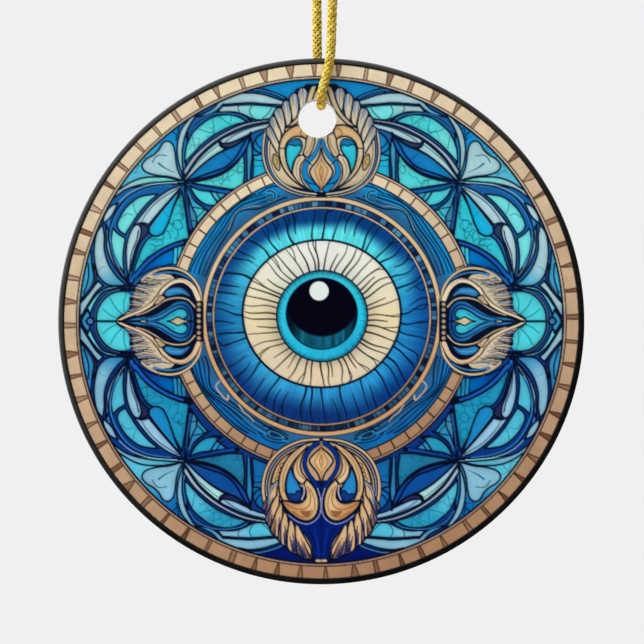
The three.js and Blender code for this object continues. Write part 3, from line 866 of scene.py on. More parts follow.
def paint_eye_rings(art):
    art.band(EYE, 0, 21.45, "ink")
    art.band(EYE, 21.02, 21.24, "tan")
    brick_course(art, EYE, 19.68, 20.9, 58, 23, 0.03)
    paint_scrolls(art)
    art.band(EYE, 16.0, 16.58, "gold")
    art.band(EYE, 15.9, 16.04, "ink")
    paint_beads(art)
    art.band(EYE, 14.8, 15.24, "ink")
    art.band(EYE, 14.9, 15.12, "tan")


def polar(radius, degrees):
    angle = math.radians(degrees)
    return (EYE[0] + radius * math.cos(angle), EYE[1] + radius * math.sin(angle))


def paint_scrolls(art):
    """Flowing water lines between the brick ring and the gold ring."""
    part, r, turn = art.near(EYE, 16.66, 19.5)
    depth = smoothstep(18.9, 17.0, r)[:, None]
    tone = art.tone("blue", part) * (1 - depth) + np.array([40, 92, 136.0]) * depth
    art.lay(part, art.between(r, 16.68, 19.48), tone * (1 + 0.25 * (art.mottle[part] - 0.5))[:, None])
    for where, crest, far, tint in (("top", 52, 74, "sky"), ("bottom", 33, 70, "sky")):
        for k in range(5):
            base = 17.0 + 0.5 * k
            bump = (1.4 - 0.24 * k) * (1 if where == "top" else 0.8)
            turns = np.linspace(19, far - 3 * k, 24)
            ripple = 0.12 * np.sin(np.radians(turns * 11 + 60 * k))
            radii = base + bump * np.exp(-(((turns - crest) / (6.5 + k)) ** 2)) + ripple
            line = [polar(min(a, 19.3), t if where == "top" else t) for a, t in zip(radii, turns)]
            line = [(x, abs(z) if where == "top" else abs(z) - 2 * EYE[1]) for x, z in line]
            art.stroke(line, 0.13 if k % 2 else 0.2, where=where)
            if k in (1, 4):
                art.stroke([(x + 0.05, z + 0.16) for x, z in line[3:-4]], 0.12, tint, (0.3, 0.6), where,
                    0.7)
    art.stroke([polar(17.5, 43), polar(18.2, 48), polar(18.5, 52), polar(18.1, 57), polar(17.5, 61)], 0.2,
        (186, 154, 136), (0.4, 0.4), "top")
    curl = [polar(17.95 + 0.85 * (1 - t / 1.6) * math.cos(t * 5.5),
        67.0 + 2.9 * (1 - t / 1.6) * math.sin(t * 5.5)) for t in np.linspace(0, 1.3, 18)]
    art.stroke(curl, 0.5, "sky", (1, 0.5), "top")
    art.stroke(curl, 0.18, "ink", (1, 0.8), "top")
    art.stroke([polar(19.0, 63), polar(19.2, 69), polar(18.6, 75)], 0.18, where="top")
    art.stroke([(14.0, 8.2), (14.6, 9.0), (14.0, 10.0), (13.0, 10.9), (12.9, 10.3)], 0.3, (196, 166, 136),
        (0.5, 0.8), "bottom")
    art.stroke([(11.4, 11.6), (10.8, 12.5), (9.9, 13.2), (9.4, 13.9)], 0.3, (196, 166, 136), (0.6, 0.4),
        "bottom")
    pod = [(4.6, 16.3), (5.3, 15.7), (6.3, 15.2), (7.3, 15.0), (7.6, 15.5), (7.1, 16.1), (6.0, 16.4),
        (4.6, 16.3)]
    art.cell([pod], (40, 128, 176), 0.18, "bottom")
    seed = [(5.6, 16.0), (6.2, 15.6), (6.9, 15.4), (7.1, 15.6), (6.6, 15.95), (5.6, 16.0)]
    art.cell([seed], (16, 54, 104), 0.12, "bottom")
    art.stroke([(8.2, 14.5), (7.2, 14.6), (6.0, 15.0), (4.6, 15.8)], 0.13, where="bottom")
    art.stroke([(8.6, 15.5), (7.6, 16.4), (6.2, 16.8), (4.8, 16.8)], 0.13, where="bottom")
    art.stroke([(7.6, 15.6), (9.2, 14.8), (10.8, 13.6)], 0.3, "sky", (0.9, 0.3), "bottom")
    art.stroke([(5.4, 16.4), (4.2, 16.9), (3.0, 17.1)], 0.24, "sky", (0.9, 0.3), "bottom")


def paint_beads(art):
    """A ring of small dark and light blue blocks."""
    rng = np.random.default_rng(5)
    part, r, turn = art.near(EYE, 15.2, 15.92)
    count = 148
    edges = np.sort((np.arange(count) + rng.uniform(-0.35, 0.35, count)) * 360 / count)
    tones = np.array([(18, 44, 84), (44, 92, 134), (72, 122, 152), (24, 60, 104), (14, 26, 58), (50, 104,
        146)], float)
    kinds = rng.integers(0, len(tones), count)
    slot = np.searchsorted(edges, turn) % count
    tone = tones[kinds[slot]] * (0.8 + 0.3 * art.top_share[part])[:, None]
    near_edge = np.min([np.abs(turn - edges[slot]), np.abs(turn - edges[slot - 1])],
        axis=0) * r * math.pi / 180
    tone = tone * np.clip(0.3 + near_edge / 0.16, 0, 1)[:, None]
    art.lay(part, art.between(r, 15.24, 15.9), tone)


# ---- The picture: the eye ----

WHITE_CENTRE = (0.07, 1.05)
WHITE_SIZE = (10.83, 10.1)
IRIS_CENTRE = (0.12, 0.72)
IRIS_RADIUS = 6.32
PUPIL_CENTRE = (0.07, 1.05)
PUPIL_RADIUS = 4.98


def oval(centre, size, degrees):
    angle = math.radians(degrees)
    return np.array([centre[0] + size[0] * math.cos(angle), centre[1] + size[1] * math.sin(angle)])


def veins(art, inner, outer, count, seed, width, colour, lengths):
    """Fine wavy lines from one oval out to another; neighbours lean the same way, so none cross."""
    rng = np.random.default_rng(seed)
    for k in range(count):
        base = 360 * (k + rng.uniform(-0.28, 0.28)) / count
        lean = 2.6 * math.sin(math.radians(3 * base + 50)) + 1.8 * math.sin(math.radians(7 * base + seed))
        sway = 1.5 * math.sin(math.radians(5 * base + 9 * seed)) + rng.uniform(-0.6, 0.6)
        phase = 1 + math.sin(math.radians(2 * base))
        start, stop = rng.choice(lengths)
        shares = np.linspace(start, stop, 7)
        turns = base + lean * shares + sway * np.sin(4.6 * shares + phase)
        line = [oval(*inner, turn) * (1 - share) + oval(*outer, turn) * share for share,
            turn in zip(shares, turns)]
        taper = (1.2, 0.6) if start < 0.1 else (0.5, 1.1)
        art.stroke(line, width * rng.uniform(0.8, 1.2), colour, taper, "once", rng.uniform(0.75, 1.0))
        if rng.random() < 0.34 and stop > 0.9:
            side = 1.9 * rng.choice([-1, 1])
            fork = line[4] * 0.3 + (oval(*inner, base + side) * 0.08 + oval(*outer,
                base + side) * 0.92) * 0.7
            end = oval(*outer, base + 1.6 * side + lean)
            art.stroke([line[3], fork, end], width * 0.8, colour, (0.7, 0.9), "once", 0.85)


def by_direction(turn, colours):
    """Colours given evenly round from the right, anticlockwise, blended between."""
    table = np.array([*colours, colours[0]], float)
    at = np.linspace(0, 360, len(table))
    return np.stack([np.interp(turn, at, table[:, k]) for k in range(3)], axis=-1)


def paint_blue_ring(art):
    part, r, turn = art.near(EYE, 8, 14.8)
    inner = by_direction(turn, [(26, 122, 184), (76, 204, 218), (92, 222, 226), (74, 200, 218), (34, 124,
        176), (52, 158, 204), (40, 140, 196), (42, 148, 204)])
    outer = by_direction(turn, [(12, 74, 142), (10, 62, 124), (6, 58, 118), (12, 66, 128), (14, 76, 136),
        (8, 48, 112), (12, 46, 106), (6, 54, 120)])
    from_white = np.hypot((art.x[part] - WHITE_CENTRE[0]) / WHITE_SIZE[0],
        (art.z[part] - WHITE_CENTRE[1]) / WHITE_SIZE[1])
    depth = np.clip((from_white - 1) * 10.4 / (14.75 - 10.4), 0, 1)
    depth = depth + 0.26 * (value_noise(turn * 0.2, r * 0.5, 2.2, 7) - 0.5)
    upward = np.clip(np.sin(np.radians(turn)), 0, 1)
    fade = smoothstep(0.12 + 0.24 * upward, 1.06 - 0.3 * upward, depth)[:, None]
    tone = inner * (1 - fade) + outer * fade
    tone = tone * (1 + 0.22 * (value_noise(turn * 1.1, r * 0.35, 1.0, 17) - 0.5))[:, None]
    art.lay(part, np.clip(0.5 + (14.82 - r) / art.spacing, 0, 1), np.clip(tone, 0, 255))
    veins(art, (WHITE_CENTRE, WHITE_SIZE), (EYE, (14.8, 14.8)), 52, 31, 0.24, (4, 20, 44), [(0, 1), (0,
        1), (0, 1), (0.34, 1)])


def paint_white_ring(art):
    x = (art.x - WHITE_CENTRE[0]) / WHITE_SIZE[0]
    z = (art.z - WHITE_CENTRE[1]) / WHITE_SIZE[1]
    r = np.hypot(x, z)
    part = r < 1.05
    r = r[part]
    turn = (np.degrees(np.arctan2(z[part], x[part])) + 360) % 360
    outer = by_direction(turn, [(228, 211, 170), (227, 227, 210), (228, 230, 222), (228, 228, 212), (227,
        211, 170), (214, 200, 170), (219, 198, 166), (216, 205, 177)])
    shade = 1 - 0.24 * smoothstep(0.80, 0.60, r)[:, None] * (1 - 0.7 * art.top_share[part])[:,
        None] - 0.05 * smoothstep(0.94, 1, r)[:, None]
    tone = outer * shade * (1 + 0.05 * (art.mottle[part] - 0.5))[:, None]
    scale = min(WHITE_SIZE)
    art.lay(part, 0.5 + (1.026 - r) * scale / art.spacing, art.tone("ink", part))
    art.lay(part, 0.5 + (0.997 - r) * scale / art.spacing, tone)
    veins(art, (IRIS_CENTRE, (6.35, 6.35)), (WHITE_CENTRE, WHITE_SIZE), 50, 12, 0.19, (20, 16, 14), [(0,
        1), (0, 1), (0, 1), (0, 1), (0, 0.96), (0, 0.62)])


def paint_iris(art):
    part, r, turn = art.near(IRIS_CENTRE, 0, IRIS_RADIUS + 0.3)
    art.lay(part, 0.5 + (IRIS_RADIUS + 0.08 - r) / art.spacing, art.tone("ink", part))
    tone = by_direction(turn, [(36, 188, 218), (46, 196, 214), (50, 182, 204), (44, 182, 208), (46, 186,
        214), (34, 182, 214), (38, 176, 210), (32, 166, 204)])
    edge = smoothstep(5.6, 6.3, r)[:, None]
    tone = tone * (1 - 0.38 * edge) * (1 + 0.12 * (art.mottle[part] - 0.5))[:, None]
    art.lay(part, 0.5 + (IRIS_RADIUS - 0.12 - r) / art.spacing, tone)
    rng = np.random.default_rng(8)
    for k in range(60):
        a = 2 * math.pi * (k + rng.uniform(-0.4, 0.4)) / 60
        b = a + rng.uniform(0, 0.08)
        start = oval(IRIS_CENTRE, (6.18, 6.18), math.degrees(a))
        stop = oval(IRIS_CENTRE, (1, 1) * np.array(rng.uniform(5.3, 5.8)), math.degrees(b))
        art.stroke([start, stop], 0.12, (8, 66, 122), (1, 0.3), "once", rng.uniform(0.3, 0.8))
    part, r, turn = art.near(PUPIL_CENTRE, 0, PUPIL_RADIUS + 0.2)
    art.lay(part, 0.5 + (PUPIL_RADIUS + 0.02 - r) / art.spacing, np.array([2, 22, 40.0]))
    x = art.x[part]
    z = art.z[part]
    streak = 0.7 + 0.6 * value_noise(x * 3.2, z * 0.6, 1.0, 9)
    teal = np.array([14, 86, 110.0]) * (streak * smoothstep(5.2, 2.6, np.abs(x - 0.3)))[:, None]
    art.lay(part, 0.5 + (PUPIL_RADIUS - 0.14 - r) / art.spacing, np.maximum(teal, [3, 18, 38]))
    glow = np.hypot(x - 0.1, z - 2.9)
    art.lay(part, smoothstep(5.2, 4.8, glow) * (r < PUPIL_RADIUS - 0.1), np.array([3, 2, 18.0]))
    art.lay(part, 0.5 + (1.33 - np.hypot(x + 0.3, z - 4.2)) / art.spacing, np.array([220, 231, 226.0]))


# ---- The picture: emblems ----


def paint_side_emblem(art):
    """The pointed winged emblem at the left and right, given for its upper half."""
    outline = [(28.5, 0), (28.3, 0.45), (27.5, 0.95), (26.8, 1.4), (26.5, 2.2), (26.6, 3.0), (26.2, 3.8),
        (26.1, 4.6), (25.5, 5.2), (24.9, 6.0), (23.9, 6.7), (22.3, 7.45), (20.5, 7.65), (18.9, 7.15),
        (17.6, 6.1), (16.75, 4.7), (16.35, 3.0), (16.3, 0)]
    art.fill(smooth(outline), "ink", dark_edge=0)
    art.cell([[(21.4, 6.6), (23.2, 6.7), (24.7, 5.9), (25.7, 4.7), (26.2, 3.4), (26.3, 1.9), (27.6, 0.7)],
        [(27.6, 0.7), (25.6, 1.2), (24.2, 2.0), (22.9, 3.4), (21.9, 4.8), (20.2, 5.9)], [(20.2, 5.9),
        (20.8, 6.5), (21.4, 6.6)]], (206, 190, 160), 0.16, dark_edge=0.1)
    leaf_roots = [(20.8, 5.9), (22.2, 5.0), (23.1, 3.8), (24.0, 2.6), (25.3, 1.6)]
    leaf_tips = [(24.4, 6.1), (25.5, 4.9), (26.2, 3.7), (26.4, 2.3), (26.9, 1.1)]
    art.barbs(leaf_roots, leaf_tips, 24, ("ink", (96, 112, 140), "slate", (160, 140, 116), "ink"), 0.17,
        bend=0.08)
    for lobe in ([(25.5, 5.2), (24.4, 5.3), (23.2, 5.0)], [(26.1, 4.4), (25.2, 4.3), (24.0, 3.7)], [(26.5,
            3.2), (25.7, 3.1), (24.6, 2.6)], [(26.5, 2.1), (25.9, 2.1), (25.1, 1.9)]):
        art.stroke(lobe, 0.2, taper=(1.2, 0.3))
    art.stroke([(17.0, 3.9), (18.0, 5.7), (19.6, 6.55), (21.6, 6.75), (23.2, 6.4)], 0.42, (52, 120, 176),
        (0.5, 0.8))
    art.stroke([(18.0, 5.6), (19.8, 6.5), (21.7, 6.6)], 0.1, "ink", (0.6, 0.6))
    art.stroke([(21.6, 6.2), (22.8, 6.1), (23.9, 5.7)], 0.3, (176, 156, 124), (0.4, 0.8))
    art.stroke([(16.62, 3.0), (16.95, 4.6), (17.85, 6.0), (19.1, 6.95), (20.6, 7.35), (22.3, 7.2), (23.8,
        6.55), (24.8, 5.8)], 0.44, (204, 180, 142), (0.8, 0.6))
    art.stroke([(16.9, 3.9), (17.9, 5.75), (19.3, 6.7), (20.9, 7.02), (22.6, 6.8)], 0.12)
    art.stroke([(22.5, 7.5), (22.6, 6.9)], 0.14, "brown")
    swoosh = [(17.0, 3.1), (17.8, 4.7), (19.1, 5.6), (20.5, 5.45), (21.6, 4.7), (22.5, 3.5), (23.6, 2.3),
        (25.2, 1.35), (27.0, 0.65), (28.1, 0.1)]
    art.stroke(swoosh, 1.0, "ink", (0.85, 0.45))
    art.stroke(swoosh, 0.74, "cream", (0.9, 0.35))
    art.stroke([(17.9, 4.9), (19.2, 5.75), (20.6, 5.6), (21.8, 4.75)], 0.1, (128, 96, 62), (0.4, 1))
    art.stroke([(22.3, 3.9), (23.4, 2.7), (24.9, 1.75), (26.6, 1.05)], 0.1, (128, 96, 62), (0.6, 0.6))
    art.cell([[(21.95, 3.75), (21.4, 4.4), (20.5, 4.75), (19.3, 4.7), (18.3, 4.0), (17.5, 2.6)], [(17.5,
        2.6), (18.3, 3.3), (19.3, 3.65), (20.4, 3.55), (21.3, 3.35), (21.95, 3.75)]], (46, 134, 192),
        0.22, to="navy", towards=((20, 4), (18, 3.0)))
    art.stroke([(21.2, 4.1), (20.2, 4.25), (19.2, 4.1), (18.4, 3.6)], 0.16, (110, 186, 214), (0.4, 0.5))
    art.stroke([(17.5, 2.0), (18.5, 3.0), (20.0, 3.25), (21.6, 2.9), (22.8, 2.1), (24.2, 1.3), (25.6,
        0.85)], 0.36, (206, 182, 144), (0.6, 0.4))
    art.stroke([(17.7, 2.5), (18.7, 3.25), (20.2, 3.5), (21.9, 3.15), (23.1, 2.3)], 0.1)
    art.cell([[(21.5, 3.3), (22.3, 3.6), (22.7, 3.0), (23.2, 2.4), (22.5, 2.4), (21.5, 3.3)]], (214, 188,
        146), 0.12)
    art.stroke([(22.2, 3.3), (22.1, 2.9), (22.5, 2.8)], 0.08, (120, 84, 48))
    for level in (0.0, 0.8, 1.6, 2.35):
        art.fill(ring_points((16.95, level), 0.33, 0, 360, 12), (190, 164, 130))
        art.stroke(ring_points((16.95, level), 0.35, 0, 360, 12), 0.12)
    art.cell([[(28.0, -0.05), (25.6, 0.55), (23.4, 0.85), (21.6, 1.8), (20.1, 2.75), (18.8, 2.8), (17.9,
        2.0), (17.6, 0.8), (17.6, -0.05)]], (20, 84, 152), 0.26, to=(44, 130, 190), towards=((19.6, 0.6),
        (21.2, 2.2)))
    art.stroke([(25.0, 0.25), (22.6, 0.8), (21.0, 1.75), (19.7, 2.3), (18.7, 2.1), (18.15, 1.2), (18.05,
        0)], 0.2, "ink", (0.5, 1))
    art.cell([[(23.6, -0.05), (21.9, 0.5), (20.6, 1.35), (19.6, 1.75), (18.8, 1.55), (18.5, 0.8), (19.0,
        0.4), (20.0, -0.05)]], (52, 186, 206), 0.2)
    art.stroke([(22.6, 0.1), (21.2, 0.5), (20.3, 1.05)], 0.1, (12, 84, 140), (0.4, 1))
    art.cell([[(21.3, -0.05), (20.5, 0.25), (19.9, 0.6), (19.2, 0.3), (17.9, -0.05)]], (222, 204, 164),
        0.18)
    art.stroke([(28.2, 0), (25.2, 0), (24.0, 0)], 0.34, "ink", (0.3, 1.2))
    art.stroke([(24.0, 0), (22.4, 0)], 0.16, (34, 100, 160), (1, 0.4))
    art.stroke([(24.9, 0), (24.4, 0)], 0.2, (206, 196, 170), (0.5, 0.5))


def paint_bud(art, where, tip, wide, base, reach, tone):
    """The pointed bud on the middle line, with a small flame drawn in it."""
    art.cell([[(0, tip), (0.26, tip + (wide - tip) * 0.32), (0.62, tip + (wide - tip) * 0.55), (reach,
        wide), (reach * 0.62, base + (wide - base) * 0.45), (0, base)]], tone, 0.22, where, to="cream",
        towards=((0.2, wide), (reach, wide)))
    middle = (tip + wide) / 2
    flame = [(0, middle), (0.55, (middle + wide) / 2), (0.95, wide), (0.4, (wide + base) / 2), (0, base)]
    art.fill(smooth(flame), (218, 180, 128), where, dark_edge=0.1)
    art.stroke(flame, 0.14, (136, 92, 50), (0.6, 1), where)
    art.stroke([(0, (middle + wide) / 2), (0.24, wide), (0, (wide + base) / 2)], 0.2, (150, 104, 58),
        (0.5, 0.8), where)


def feather(art, root, tip, width, where, plain, tones, bend, barb):
    """A rounded feather from its root to its tip, with barbs that darken towards the tip."""
    a = np.array(root, float)
    d = np.array(tip, float) - a
    side = np.array([d[1], -d[0]]) / np.linalg.norm(d)
    place = lambda along, across: a + d * along + side * (across + bend * 4 * along * (1 - along))
    turns = np.linspace(-math.pi / 2, math.pi / 2, 9)
    edge = [(0, -0.12), (0.35, -0.33), *[(0.74 + 0.26 * math.cos(t), 0.5 * math.sin(t)) for t in turns],
        (0.35, 0.33), (0, 0.12)]
    outline = smooth([place(along, across * width) for along, across in edge])
    art.fill(outline, plain, where, dark_edge=0.15)
    for k, tone in enumerate(tones):
        across = ((k + 0.5) / len(tones) - 0.5) * 0.86
        start = 0.3 + 0.34 * (k * 0.618 % 1)
        run = [place(along, across * width * (0.6 + 0.4 * along)) for along in (start, 0.7,
            0.95 - 0.12 * abs(across))]
        art.stroke(run, barb, tone, (0.4, 1.25), where, 0.92)
    art.stroke(outline, 0.2, where=where)


def paint_top_emblem(art):
    """The round emblem at the top, with a bud, scrolls and upswept feather wings."""
    where = "top"
    brown = (120, 84, 48)
    outline = [(0, 33.5), (1.5, 33.35), (2.6, 33.0), (3.2, 32.5), (4.0, 31.9), (4.9, 31.0), (5.7, 30.2),
        (6.5, 29.3), (7.0, 28.2), (7.3, 27.1), (7.9, 26.2), (8.25, 24.2), (8.2, 22.4), (7.7, 20.7), (6.7,
        19.3), (5.2, 18.15), (3.2, 17.35), (0, 17.1)]
    art.fill(smooth(outline), "ink", where, dark_edge=0)
    art.fill(smooth([(0, 32.8), (5.0, 29.5), (7.0, 25.0), (7.4, 22.4), (5.6, 19.3), (0, 17.9)]), (206,
        188, 152), where)
    hoops = [(7.72, 26.6), (8.02, 24.6), (7.98, 22.6), (7.4, 20.7), (6.3, 19.2), (4.8, 18.2), (3.0, 17.6),
        (0.8, 17.3)]
    for inset, width, tone in ((0, 0.34, (204, 188, 160)), (0.4, 0.24, (92, 116, 156)), (0.76, 0.3, (214,
            202, 172))):
        line = [(x * (1 - inset / 8.2), 17.0 + (z - 17.0) * (1 - inset / 12) + inset * 0.45) for x,
            z in hoops]
        art.stroke(line, width + 0.2, "ink", (0.7, 0.8), where)
        art.stroke(line, width, tone, (0.7, 0.6), where)
    tips = [(7.3, 27.2), (6.75, 28.7), (6.0, 29.95), (4.85, 31.05), (3.75, 32.1), (2.6, 32.9)]
    roots = [(5.95, 23.3), (5.75, 24.9), (5.3, 26.1), (4.6, 27.0), (3.8, 27.8), (2.7, 28.9)]
    blues = ((74, 112, 158), (152, 164, 178), (56, 88, 136), (160, 146, 118), (70, 104, 150))
    for k, (root, tip) in enumerate(zip(roots, tips)):
        tones = [blues[(k + i) % len(blues)] for i in range(5)]
        feather(art, root, tip, 1.5, where, (218, 204, 172), tones, -0.12, 0.16)
    art.cell([[(0.6, 33.2), (1.3, 33.1), (1.75, 32.2), (2.15, 30.8), (2.9, 29.2), (4.0, 27.9), (4.9,
        27.0)], [(4.9, 27.0), (3.6, 27.5), (2.5, 28.7), (1.6, 30.1), (1.2, 31.2), (0.6, 33.2)]], (214,
        194, 154), 0.2, where)
    art.cell([[(6.6, 23.2), (6.75, 22.2), (6.3, 21.2), (5.8, 20.9), (5.75, 22.0), (5.95, 22.8), (6.6,
        23.2)]], (200, 168, 112), 0.14, where)
    art.stroke([(6.3, 22.5), (6.0, 22.0), (6.3, 21.7)], 0.12, brown, where=where)
    hoop_outside = [(1.9, 27.3), (3.2, 27.4), (4.6, 26.7), (5.5, 25.5), (5.85, 24.1), (5.75, 22.6), (5.2,
        21.1), (4.2, 19.8), (2.9, 18.8), (1.4, 18.0)]
    hoop_inside = [(1.4, 18.0), (2.7, 19.0), (3.9, 20.2), (4.6, 21.5), (4.95, 22.9), (4.95, 24.2), (4.4,
        25.2), (3.5, 25.7), (2.6, 25.6), (1.9, 25.2)]
    art.cell([hoop_outside, hoop_inside, [(1.9, 25.2), (1.7, 26.2), (1.9, 27.3)]], (222, 204, 164), 0.22,
        where, to=(214, 174, 118), towards=((4, 22.5), (3.2, 26.8)))
    art.stroke([(4.95, 24.0), (5.85, 24.0)], 0.14, where=where)
    art.stroke([(2.1, 27.0), (2.7, 26.6), (2.9, 26.0), (2.4, 25.7)], 0.14, brown, where=where)
    art.stroke([(5.4, 22.8), (4.8, 21.3), (3.7, 20.0), (2.4, 18.9)], 0.1, brown, (0.4, 1), where)
    drop = [(4.15, 20.5), (4.7, 21.8), (4.92, 23.2), (4.75, 24.4), (4.1, 25.1), (3.2, 25.35), (2.7, 24.8),
        (2.7, 23.9), (3.2, 23.0), (3.8, 22.1), (4.15, 20.5)]
    art.cell([drop], (48, 192, 214), 0.22, where)
    crest = [(2.7, 24.1), (3.1, 24.5), (3.6, 24.3), (4.2, 24.5), (4.7, 24.5)]
    art.fill(smooth([*crest, (4.2, 25.05), (3.3, 25.3), (2.75, 24.9), (2.7, 24.1)]), (24, 122, 178), where)
    art.stroke(crest, 0.14, where=where)
    art.cell([[(2.6, 23.1), (3.4, 22.7), (3.85, 21.6), (3.95, 20.4), (3.1, 19.2), (1.9, 18.3)], [(1.9,
        18.3), (2.7, 19.5), (2.95, 20.6), (2.8, 21.7), (2.2, 22.6), (2.6, 23.1)]], "cream", 0.18, where)
    art.stroke([(2.9, 22.6), (3.4, 21.6), (3.45, 20.5), (2.9, 19.4)], 0.12, brown, (1, 0.6), where)
    art.cell([[(0.9, 25.9), (1.7, 26.2), (2.1, 25.2), (2.2, 24.2), (2.5, 23.3), (1.9, 22.7), (1.3, 23.6),
        (0.9, 24.8), (0.9, 25.9)]], (210, 192, 156), 0.16, where)
    art.stroke([(1.2, 25.4), (1.4, 24.4), (2.1, 23.2)], 0.1, brown, where=where)
    blue_band = [(0.2, 25.1), (0.5, 24.0), (1.1, 22.9), (1.95, 22.0), (2.3, 21.0), (2.15, 20.0), (1.5,
        19.1), (0.7, 18.4)]
    art.stroke(blue_band, 1.22, "ink", (0.4, 0.95), where)
    art.stroke(blue_band, 0.96, (18, 128, 192), (0.35, 0.95), where)
    for a, b in (((1.4, 21.7), (2.1, 22.4)), ((1.7, 19.0), (2.2, 19.6)), ((0.6, 18.9), (1.8, 19.2))):
        art.stroke([a, b], 0.14, where=where)
    paint_bud(art, where, 24.0, 20.8, 18.2, 1.6, "gold")


